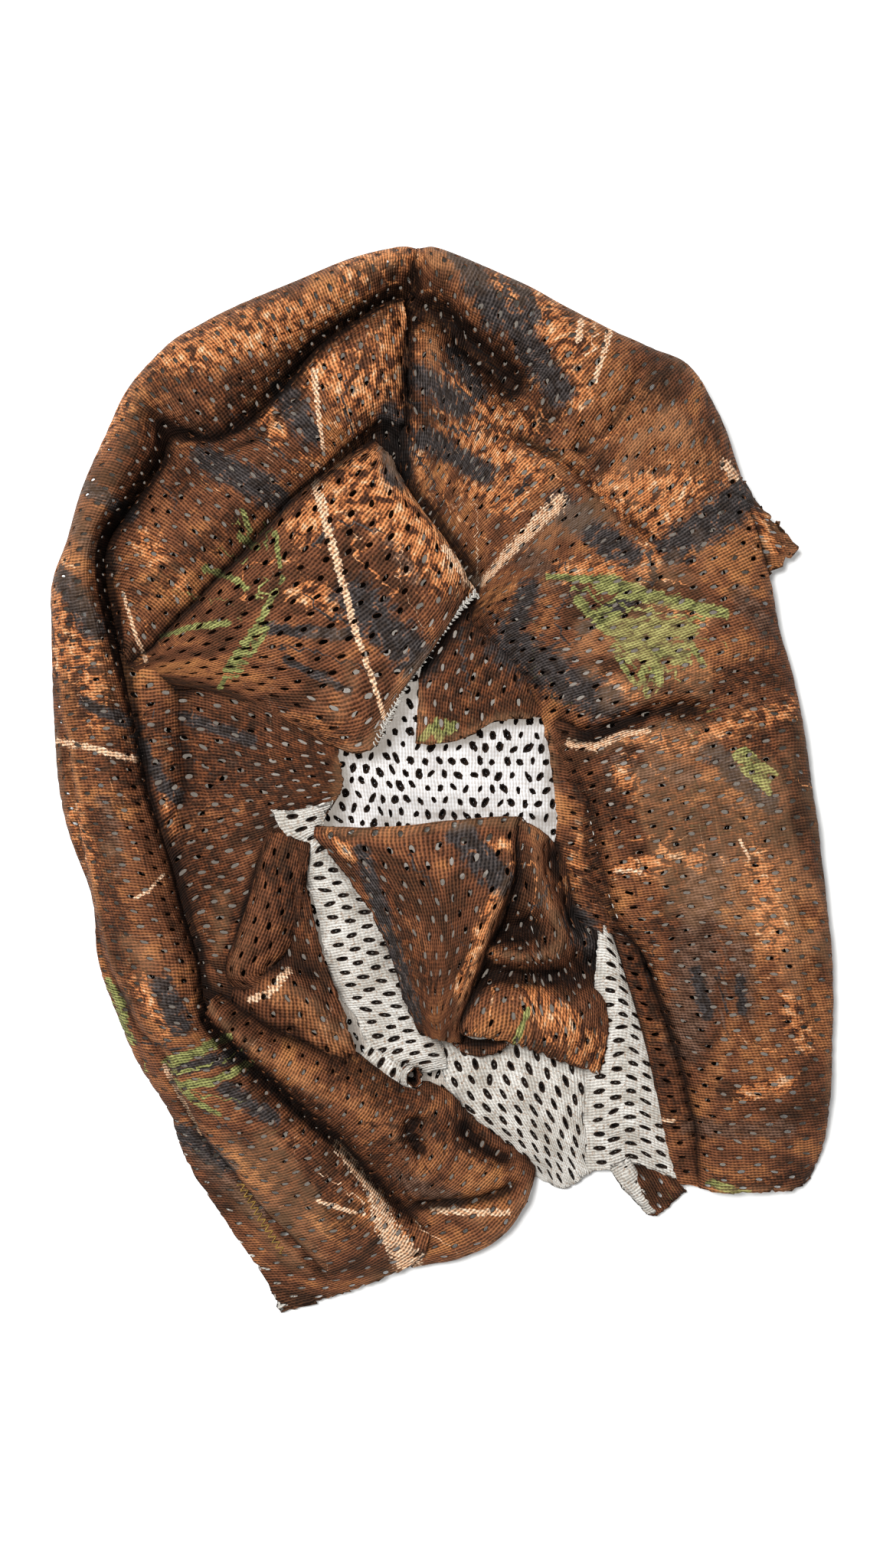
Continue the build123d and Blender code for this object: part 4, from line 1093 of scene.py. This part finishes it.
COVER_FOLDS = [
    [(18, -14, 8), (27, -17, 8), (33, -19, 8), (37, -21, 8), (41, -25, 8), (46, -30, 9)],
    [(19, -12, 13), (27, -12.5, 16), (33, -15.5, 15), (37.5, -20, 11), (42, -26, 11), (49, -32, 12)],
    [(17, -28, 8.5), (25, -25, 17), (31, -24, 20.5), (36.5, -27, 12), (44, -33, 11), (52, -39, 12.5)],
    [(13, -40, 8.5), (21, -38, 12), (30, -38, 20), (37, -40.5, 21.5), (43, -43, 11), (54, -46, 11)],
    [(11, -48, 9), (19, -48, 8.5), (27, -47.5, 9.5), (37.5, -49, 21.5), (45.5, -51, 13), (54, -53, 9.5)],
    [(9, -54, 13), (18, -54.5, 19), (27, -55.5, 21), (36.5, -55.5, 21), (45, -58, 9.5), (53.5, -60, 8.5)],
    [(7, -60, 9), (17, -61.5, 9), (27, -62.5, 9), (37, -63, 9), (46, -64.5, 9), (53.5, -66, 9)],
    [(4.5, -69, 13), (14, -68, 15), (26, -68.5, 16), (37, -70, 16.5), (47, -72, 15.5), (54, -74, 11)],
    [(3.5, -77, 14), (12.5, -77, 17.5), (25, -79, 16), (36, -81, 16), (46, -83, 15), (54, -84, 10.5)],
    [(4, -81.5, 13), (12.5, -82, 16.5), (22.5, -84.5, 13),
     (33, -88.5, 12.5), (43, -92, 11), (51.5, -95, 8.5)],
    [(5, -81, 11), (12.5, -81.5, 14.5), (22.5, -83.5, 10), (32, -86, 8.5), (42, -89, 8), (50.5, -92, 7)],
]
COVER_LIP = [
    [(3.5, -79, 9), (3.3, -82, 10), (3.6, -84.5, 12), (4.4, -85.8, 11), (5.4, -84.6, 8)],
    [(7.5, -77, 7.5), (7.2, -82, 8), (7.3, -86.4, 11), (7.6, -88.2, 10), (8.4, -86.6, 7)],
    [(12.5, -76, 7), (12.5, -82, 7.5), (12.5, -87.2, 10.5), (12.5, -89.3, 9.5), (12.5, -87.5, 6.5)],
    [(17.5, -77, 7.5), (17.8, -82, 8), (17.9, -86.4, 11), (17.7, -88.2, 10), (17, -86.6, 7)],
    [(21.5, -79, 9), (21.8, -81.5, 10.5), (22, -84, 12.2), (21.8, -85.4, 11), (21, -84.6, 8)],
]
# The two rolls: (x, y, z, width, thickness) along the middle.
NECK_ROLL = [
    (-25, -87, 6.5, 6, 4), (-18, -92.5, 8, 8, 5.5),
    (-12, -95.3, 8.2, 8.5, 7), (-8.9, -95.4, 12.2, 7.5, 6.5),
]
CORNER_ROLL = [
    (58.5, -124, 5, 8, 5), (62, -130, 5.2, 7, 5),
    (66.3, -136, 4.4, 5.5, 4.5), (69.6, -140.8, 2.8, 4, 3),
]
RIGHT_FACING = [
    [(34.5, 26, 11), (40, 24, 12.5), (48, 22, 13)],
    [(35.3, 10, 10.5), (41.5, 9, 12.2), (51, 7, 13)],
    [(36.8, -2, 10.2), (43.5, -3, 12.8), (54, -5, 13)],
    [(38, -12, 10.2), (45.5, -13.5, 13.2), (56, -16, 13)],
    [(36.5, -22, 9.8), (47, -25, 13.2), (59, -27, 13)],
    [(38, -33, 9.5), (50, -36, 13), (62, -38, 13)],
    [(40, -45, 9), (52, -48, 12.5), (66, -51, 12.5)],
]
RIGHT_HEM = [
    [(55, -48, 11), (57.5, -49, 13.5), (63, -50, 13)],
    [(59.8, -64, 10), (62.5, -64.5, 13.5), (69.5, -65, 11)],
    [(65, -80, 9), (68, -80.5, 12.5), (77, -81, 10)],
    [(69.5, -98, 8), (72.5, -98.5, 11), (82.5, -99, 8.5)],
    [(72.5, -114, 6.5), (75.5, -114.5, 9), (86, -115, 6.5)],
    [(76, -131, 3), (78.5, -131.5, 4.5), (87, -133, 3)],
]
TAB = [
    [(92, 104, 6), (96, 102, 8.5), (99, 98, 7)],
    [(93, 97, 7), (98.5, 95, 9.5), (104, 91.8, 8)],
    [(96, 88, 7), (102.5, 87, 9.5), (109.8, 85.2, 8)],
    [(99, 79, 7), (106, 79, 9), (116.4, 77.8, 7)],
    [(101, 72, 6), (106, 73, 7.5), (113, 74, 6.5)],
    [(102, 67, 5), (105, 68, 6.3), (107.8, 69.4, 5.8)],
]
BOTTOM_CORNER = [
    [(55, -125, 3), (58, -130, 4.5), (63.5, -136.5, 4), (68.5, -142, 2.2)],
    [(60, -124, 4.5), (64, -130, 7), (67.5, -136, 6.5), (71, -142.3, 3)],
    [(67, -125, 4), (70, -130.5, 5.5), (72.5, -135, 5), (75, -139, 2.6)],
    [(76, -127, 3), (78, -130.5, 4.5), (79.5, -133, 3.8), (80.5, -134.5, 2.2)],
]
BACK = [
    [(-8, 167, 0.7), (-52, 153, 0.7), (-88, 128, 0.7), (-108, 92, 0.7), (-116, 52, 0.7),
     (-113, 8, 0.7), (-105, -35, 0.7), (-92, -80, 0.7), (-70, -115, 0.7), (-40, -148, 0.7)],
    [(4, 165, 0.7), (-22, 120, 0.8), (-52, 95, 0.8), (-66, 62, 0.8), (-64, 35, 1),
     (-56, 8, 1.4), (-50, -25, 1), (-48, -60, 0.8), (-38, -98, 0.7), (-22, -150, 0.7)],
    [(18, 159, 0.7), (12, 112, 0.8), (2, 80, 0.8), (-6, 50, 1), (-10, 28, 2),
     (-10, 6, 2.6), (-8, -20, 2), (-8, -56, 0.9), (-6, -95, 0.7), (-4, -148, 0.7)],
    [(38, 150, 0.7), (44, 112, 0.8), (42, 82, 0.8), (38, 52, 1), (34, 28, 2),
     (32, 4, 2.6), (32, -20, 2), (30, -56, 0.9), (28, -92, 0.7), (26, -126, 0.7)],
    [(62, 135, 0.7), (76, 104, 0.7), (80, 76, 0.7), (80, 48, 0.8), (78, 24, 0.9),
     (76, 0, 1), (76, -24, 0.9), (72, -58, 0.8), (64, -92, 0.7), (56, -124, 0.7)],
    [(88, 106, 0.7), (96, 82, 0.7), (102, 58, 0.7), (106, 36, 0.7), (110, 14, 0.7),
     (114, -10, 0.7), (117, -36, 0.7), (118, -68, 0.7), (114, -100, 0.7), (100, -127, 0.7)],
]


# ---------------------------------------------------------------- building


def claim(obj, body, slot, *nodes):
    """The piece rides on a body and stands for CAD nodes, which it hides. The slot is not used."""
    if body:
        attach(obj, body)
    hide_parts(*nodes)


def right_hood_surface():
    """The wide right drape with its valleys, its pucker and soft falls."""
    g = surface(RIGHT_HOOD)
    for end in ((47, 119), (54, 125)):
        fold(g, [(42, 104), end], 2.4, -2.4, 0.3)
    fold(g, [(43, 104), (51, 112), (58, 121), (65, 139)], 1.8, -4.0, 0.15)
    fold(g, [(16, 117), (30, 110), (42, 103), (58, 88), (75, 72)], 1.8, -3.6, 0.2)
    fold(g, [(14, 113), (28, 106), (40, 99), (56, 84), (72, 69)], 2.4, 1.6, 0.2)
    fold(g, [(2, 147), (13, 137), (27, 125)], 7.0, -4.5, 0.2)
    fold(g, [(44, 104), (60, 104), (80, 108)], 4.0, -1.8, 0.3)
    fold(g, [(45, -2), (47.8, -8), (51.6, -26), (57, -46)], 1.0, -2.4, 0.1)
    fold(g, [(37, 27), (40, 19), (47, 15.5), (60, 20), (75, 24), (92, 23)], 2.8, -7.0, 0.2)
    fold(g, [(44, 28), (56, 29), (74, 32), (90, 31)], 5.0, 2.6, 0.3)
    fold(g, [(43, 12), (52, 11.5), (60, 14.5), (74, 17), (90, 16)], 3.6, 3.0, 0.3)
    fold(g, [(40, 60), (60, 52), (84, 50)], 5.0, -1.4, 0.3)
    fold(g, [(60, -5), (66, -40), (78, -75)], 5.0, -1.4, 0.3)
    falls = ((97, -95, -25, -1.3), (108, -90, -20, 1.2), (117, -100, -30, -1.4), (88, -110, -70, 0.8))
    for x, low, high, depth in falls:
        fold(g, [(x, high), (x + 4, (low + high) / 2), (x + 6, low)], 4.0, depth)
    return ripples(g, 5, 26, 0.7)


def crosswise(grid):
    """The same surface with its ribs turned the other way."""
    return grid.transpose(1, 0, 2)[::-1]


HEM_LINE = [
    (-123, 22), (-120, 0), (-116, -30), (-111, -55),
    (-105, -67.5), (-98.8, -79.7), (-90.7, -87), (-87.6, -97),
    (-78.4, -116.4), (-70, -125.6), (-57, -142), (-42.7, -156.2), (-36, -166),
]


def left_rim_surface():
    """The left hood from its rolled edge down to the table, with the hem's seam."""
    g = surface(LEFT_RIM)
    fold(g, HEM_LINE, 1.3, -2.6, 0.05)
    fold(g, [(x + 2.6, y + 0.8) for x, y in HEM_LINE], 1.3, 1.3, 0.05)
    fold(g, [(-85, 150), (-70, 143), (-55, 137)], 3.5, -2.0, 0.3)
    fold(g, [(-118, 60), (-116, 20), (-113, -20)], 4.0, -1.6, 0.3)
    return ripples(g, 9, 24, 0.6)


def cape_surface():
    """The neck skirt's thick roll, with the folds and the hollow at its right end."""
    g = surface(CAPE_ROLL)
    fold(g, [(-14, -138), (5, -137), (20, -134), (29, -128)], 2.4, -5.5, 0.2)
    fold(g, [(4, -109), (12, -118), (25, -126)], 2.6, -5.0, 0.2)
    fold(g, [(-3, -108), (-10, -111), (-8, -117), (-2, -121)], 2.4, -6.5, 0.3)
    fold(g, [(-14, -104), (-15, -114), (-10, -124), (2, -129)], 3.0, 2.4, 0.3)
    fold(g, [(-52, -92), (-38, -103), (-26, -116)], 3.0, 1.6, 0.3)
    return ripples(g, 14, 20, 0.7)


def left_inner_surface():
    """The left hood between its rolled edge and the eye opening."""
    g = surface(LEFT_INNER)
    fold(g, [(-42, 104), (-52, 118)], 4.0, -1.2)
    fold(g, [(-93, 92), (-75, 105), (-59, 113), (-40, 133)], 2.2, -3.2, 0.2)
    return ripples(g, 12, 22, 0.5)


def waved(guides, seed, size, height):
    """The surface through the guides, with ripples."""
    return ripples(surface(guides), seed, size, height)


def panel_surfaces():
    """The surface of every cloth piece, with how it is knitted."""
    front = {"level": 0.0}
    white = {"white": True, "hole": 1.35, "stretch": 1.08, "level": 0.0, "uneven": 0.8, "scale": 0.88}
    back = {"white": True, "hole": 1.65, "stretch": 0.68, "uneven": 1.9, "scale": 0.76}
    corner = {"white": True, "hole": 0.5, "level": 0.0, "facing": -1}
    return {
        "left_rim": (left_rim_surface(), {"level": 0.3}),
        "left_inner_hood": (left_inner_surface(), {"level": 0.4}),
        "cape_roll": (cape_surface(), {"level": 0.4, "closing": 0.3}),
        "right_hood": (right_hood_surface(), {"level": 0.1}),
        "brow_flap_cloth": (waved(BROW_FLAP, 15, 24, 0.5), front),
        "inner_brow_cloth": (waved(INNER_BROW, 16, 16, 0.3), front),
        "left_cheek_cloth": (crosswise(waved(LEFT_CHEEK, 17, 18, 0.35)), {**front, "hole": 1.1}),
        "cheek_pleat_cloth": (crosswise(surface(CHEEK_PLEAT)), front),
        "neck_pleats_cloth": (waved(NECK_PLEATS, 18, 14, 0.35), front),
        "neck_strip_left_cloth": (waved(NECK_STRIP_LEFT, 19, 14, 0.3), white),
        "neck_panel_cloth": (waved(NECK_PANEL, 20, 14, 0.3), white),
        "neck_strip_right_cloth": (crosswise(surface(NECK_STRIP_RIGHT)), white),
        "cover_front_cloth": (crosswise(waved(COVER_FRONT, 21, 18, 0.4)), front),
        "cover_folds_cloth": (crosswise(waved(COVER_FOLDS, 22, 14, 0.35)), front),
        "right_facing_cloth": (waved(RIGHT_FACING, 23, 14, 0.3), front),
        "right_hem_cloth": (surface(RIGHT_HEM), front),
        "tab_cloth": (waved(TAB, 24, 10, 0.3), {**front, "edge_wave": 0.6}),
        "bottom_corner_cloth": (surface(BOTTOM_CORNER), front),
        "neck_roll_cloth": (sweep(NECK_ROLL), {**white, "facing": -1}),
        "corner_roll_cloth": (sweep(CORNER_ROLL), corner),
        "cover_lip_cloth": (surface(COVER_LIP), front),
        "back_cloth": (surface(BACK), back),
    }


# ---------------------------------------------------------------- threads

# The lines of the stitches, and the yarn's sizes in millimetres.
FACING_STITCHES = [(46.6, -5), (48.6, -13), (51, -24), (54, -35), (57.5, -44.5)]
HEM_ZIGZAG = [(-66, -131), (-59.5, -142), (-52, -154)]
CROWN_SEAM = [(-9.5, 104), (-9.6, 120), (-9.8, 140), (-9.4, 152)]
YARN_STEP = 0.25  # between two points of a yarn
STITCH_DIP = 0.6  # how far the ends of a stitch go into the cloth
LOOP_STEP = 0.22
LOOP_PITCH = 1.5
LOOP_REACH = 1.25
HAIRS = 60
HAIR_LENGTH = 1.3


def tube(name, paths, radius, material, sides=6):
    """Round yarns along lists of points in millimetres, with closed ends, as one piece."""
    points, faces = [], []
    turn = np.linspace(0, math.tau, sides, endpoint=False)
    for path in paths:
        path = np.asarray(path, float)
        way = np.gradient(path, axis=0)
        way /= np.linalg.norm(way, axis=1, keepdims=True)
        side = np.cross(way, (0.0, 0.0, 1.0))
        side /= np.maximum(np.linalg.norm(side, axis=1, keepdims=True), 1e-6)
        up = np.cross(side, way)
        start = len(points)
        for k in range(len(path)):
            ring = path[k] + radius * (np.cos(turn)[:, None] * side[k] + np.sin(turn)[:, None] * up[k])
            points += ring.tolist()
        for k in range(len(path) - 1):
            for m in range(sides):
                a, b = start + k * sides + m, start + k * sides + (m + 1) % sides
                faces.append((a, b, b + sides, a + sides))
        last = start + (len(path) - 1) * sides
        faces.append(tuple(range(start, start + sides)))
        faces.append(tuple(range(last + sides - 1, last - 1, -1)))
    mesh = make_mesh(name, np.array(points), faces)
    mesh.materials.append(material)
    clean(mesh)


def walk(line, pitch):
    """Points every pitch along a line of (x, y, ...), with the direction across it."""
    line = spline(np.array(line, float), 12)
    runs = np.concatenate([[0], np.cumsum(np.linalg.norm(np.diff(line, axis=0), axis=1))])
    places = np.arange(0, runs[-1], pitch)
    spots = np.stack([np.interp(places, runs, line[:, k]) for k in range(line.shape[1])], axis=1)
    way = np.gradient(spots, axis=0)[:, :2]
    way /= np.linalg.norm(way, axis=1, keepdims=True)
    return spots, np.stack([-way[:, 1], way[:, 0]], axis=1), way


def on_top(grid, spots, lift):
    """The spots, each lifted a little off a surface."""
    quads, (rows, columns) = [], grid.shape[:2]
    for i in range(rows - 1):
        for j in range(columns - 1):
            a = i * columns + j
            quads.append((a, a + 1, a + columns + 1, a + columns))
    tree = BVHTree.FromPolygons(grid.reshape(-1, 3).tolist(), quads)
    placed = []
    for x, y in spots:
        hit = tree.ray_cast((x, y, 60), (0, 0, -1))[0]
        placed.append((x, y, (hit.z if hit else grid[..., 2].max()) + lift))
    return np.array(placed)


def overlock(edge, seed):
    """The whipped yarn along the flap's raw edge: loops over the edge with a core, and loose hairs."""
    draw = np.random.default_rng(seed)
    spots, across, way = walk(edge, LOOP_STEP)
    count = len(spots)
    swing = math.tau * np.arange(count) * LOOP_STEP / LOOP_PITCH
    reach = LOOP_REACH * np.repeat(draw.uniform(0.7, 1.3, count // 7 + 1), 7)[:count]
    loop = spots.copy()
    loop[:, :2] += across * (np.sin(swing) * reach)[:, None] + way * (np.cos(2 * swing) * 0.35)[:, None]
    loop[:, 2] += 0.5 + 0.45 * np.cos(swing)
    core = spots.copy()
    core[:, 2] += 0.3
    core[:, :2] += across * (draw.normal(0, 0.12, count))[:, None]
    hairs = []
    for _ in range(HAIRS):
        at = spots[draw.integers(0, count)].copy()
        at[2] += 0.5
        lean = draw.normal(0, 1.0, 3) * (1, 1, 0.3)
        bend = draw.normal(0, 0.5, 3) * (1, 1, 0.2)
        hairs.append([at + HAIR_LENGTH * (lean * t + bend * t * t) for t in np.linspace(0, 1, 6)])
    return [loop, core], hairs


def dashes(line, grid, length, gap, lift):
    """Separate stitches along a line on a surface, each dipping into the cloth at both ends."""
    spots, _, _ = walk(line, YARN_STEP)
    period = round((length + gap) / YARN_STEP)
    long = round(length / YARN_STEP)
    paths = []
    for start in range(0, len(spots) - long, period):
        path = on_top(grid, spots[start:start + long + 1, :2], lift)
        path[:, 2] -= STITCH_DIP * (2 * np.linspace(0, 1, len(path)) - 1) ** 6
        paths.append(path)
    return paths


def zigzag(line, grid, width, pitch, lift):
    """One yarn that goes from side to side along a line on a surface."""
    spots, across, _ = walk(line, YARN_STEP)
    phase = np.arange(len(spots)) * YARN_STEP / pitch
    swing = 2 * np.abs(2 * (phase - np.floor(phase + 0.5))) - 1
    return [on_top(grid, spots[:, :2] + across * (swing * width / 2)[:, None], lift)]


def make_threads(surfaces):
    """The sewing that shows, in place of the plain bars of the CAD."""
    edge = [p for p in BROW_FLAP[-1] if p[0] > -24]
    loops, hairs = overlock(edge, 51)
    tube("brow_edge_overlock", loops, 0.24, white_thread)
    tube("brow_edge_hairs", hairs, 0.07, white_thread, 4)
    hood = surfaces["right_hood"][0]
    tube("facing_stitch_row", dashes(FACING_STITCHES, hood, 1.5, 2.0, 0.22), 0.19, white_thread)
    rim = surfaces["left_rim"][0]
    tube("hem_zigzag", zigzag(HEM_ZIGZAG, rim, 2.6, 2.2, 0.25), 0.2, gold_thread)
    tube("crown_seam_stitches", dashes(CROWN_SEAM, hood, 1.6, 1.5, 0.2), 0.16, brown_thread)


# Each piece with its body, its material slot and the CAD nodes it stands for. The pieces of the flap and
# the face cover have no body of their own.
PIECES = {
    "left_rim": ("hood", "camo_mesh", ["left_hood_panel", "left_hem_strip"]),
    "left_inner_hood": ("hood", "camo_mesh", ["left_hood_panel"]),
    "cape_roll": ("hood", "camo_mesh", ["left_neck_cape"]),
    "right_hood": ("hood", "camo_mesh", ["right_hood_panel"]),
    "inner_brow_cloth": ("hood", "camo_mesh", ["inner_brow_panel"]),
    "left_cheek_cloth": ("hood", "camo_mesh", ["left_cheek_panel"]),
    "cheek_pleat_cloth": ("hood", "camo_mesh", ["left_cheek_pleat"]),
    "neck_pleats_cloth": ("hood", "camo_mesh", ["neck_pleats"]),
    "neck_strip_left_cloth": ("hood", "white_mesh", ["neck_strip_left"]),
    "neck_panel_cloth": ("hood", "white_mesh", ["neck_panel_center"]),
    "neck_strip_right_cloth": ("hood", "white_mesh", ["neck_strip_right"]),
    "right_facing_cloth": ("hood", "camo_mesh", ["right_facing"]),
    "right_hem_cloth": ("hood", "camo_mesh", ["right_hem_strip"]),
    "tab_cloth": ("hood", "camo_mesh", ["right_tab"]),
    "bottom_corner_cloth": ("hood", "camo_mesh", ["bottom_corner"]),
    "back_cloth": ("hood", "white_mesh", ["back_panel"]),
    "brow_flap_cloth": (None, "camo_mesh", ["brow_flap"]),
    "cover_front_cloth": (None, "camo_mesh", ["face_cover"]),
    "cover_folds_cloth": (None, "camo_mesh", ["face_cover"]),
    "neck_roll_cloth": ("hood", "white_mesh", ["neck_strip_left"]),
    "corner_roll_cloth": ("hood", "white_mesh", ["bottom_corner"]),
    "cover_lip_cloth": (None, "camo_mesh", ["face_cover"]),
    "brow_edge_overlock": ("flap", "white_thread", ["brow_edge_thread"]),
    "brow_edge_hairs": ("flap", "white_thread", ["brow_edge_thread"]),
    "facing_stitch_row": ("hood", "white_thread", ["facing_stitches"]),
    "hem_zigzag": ("hood", "gold_thread", ["hem_zigzag_thread"]),
    "crown_seam_stitches": ("hood", "brown_thread", ["crown_seam_thread"]),
}


# ---------------------------------------------------------------- stage, in metres

CAMERA_HEIGHT = 0.7
RIM_LEVEL = 0.010  # height of the outline that the view is sized for
VIEW_HEIGHT = 0.512
FLOOR_REACH = 3.0


def make_floor():
    """The pale table under the mask."""
    mesh = bpy.data.meshes.new("floor")
    corners = [(x * FLOOR_REACH, y * FLOOR_REACH, 0) for x, y in ((-1, -1), (1, -1), (1, 1), (-1, 1))]
    mesh.from_pydata(corners, [], [(0, 1, 2, 3)])
    floor = bpy.data.objects.new("floor", mesh)
    bpy.context.scene.collection.objects.link(floor)
    n = Nodes("floor_pale", roughness=0.9)
    cloudy = n.noise(n.add("ShaderNodeTexCoord").outputs["Object"], 3.0)
    mesh.materials.append(n.done(n.ramp(cloudy, [(0.3, colour("f4f4f3")), (0.7, colour("fafaf9"))])))


def make_light(name, place, size, power):
    """A square lamp that looks at the middle of the mask."""
    light = bpy.data.lights.new(name, "AREA")
    light.size = size
    light.energy = power
    obj = bpy.data.objects.new(name, light)
    obj.location = place
    obj.rotation_euler = (-Vector(place)).to_track_quat("-Z", "Y").to_euler()
    bpy.context.scene.collection.objects.link(obj)


def make_stage():
    """The table, the light and the camera straight above."""
    make_floor()
    make_light("key", (-0.32, 0.26, 1.15), 0.4, 21)
    world = bpy.data.worlds.new("studio")
    world.use_nodes = True
    world.node_tree.nodes["Background"].inputs["Color"].default_value = (1, 1, 1, 1)
    world.node_tree.nodes["Background"].inputs["Strength"].default_value = 0.5
    bpy.context.scene.world = world
    bpy.context.scene.view_settings.view_transform = "Standard"
    data = bpy.data.cameras.new("camera")
    camera = bpy.data.objects.new("camera", data)
    camera.location = (0, 0, CAMERA_HEIGHT)
    data.sensor_width = 36
    data.lens = data.sensor_width * (CAMERA_HEIGHT - RIM_LEVEL) / VIEW_HEIGHT
    bpy.context.scene.collection.objects.link(camera)
    bpy.context.scene.camera = camera


surfaces = panel_surfaces()
relief = Relief([grid for grid, _ in surfaces.values()])
for seed, (name, (grid, options)) in enumerate(surfaces.items(), 21):
    knit(name, grid, relief, seed=seed, **options)
make_threads(surfaces)
made = {name: bpy.data.objects[name] for name in PIECES}
for name, (body, slot, nodes) in PIECES.items():
    claim(made[name], body, slot, *nodes)
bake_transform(made["brow_flap_cloth"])
for name in ("cover_front_cloth", "cover_folds_cloth", "cover_lip_cloth"):
    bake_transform(made[name])
make_stage()
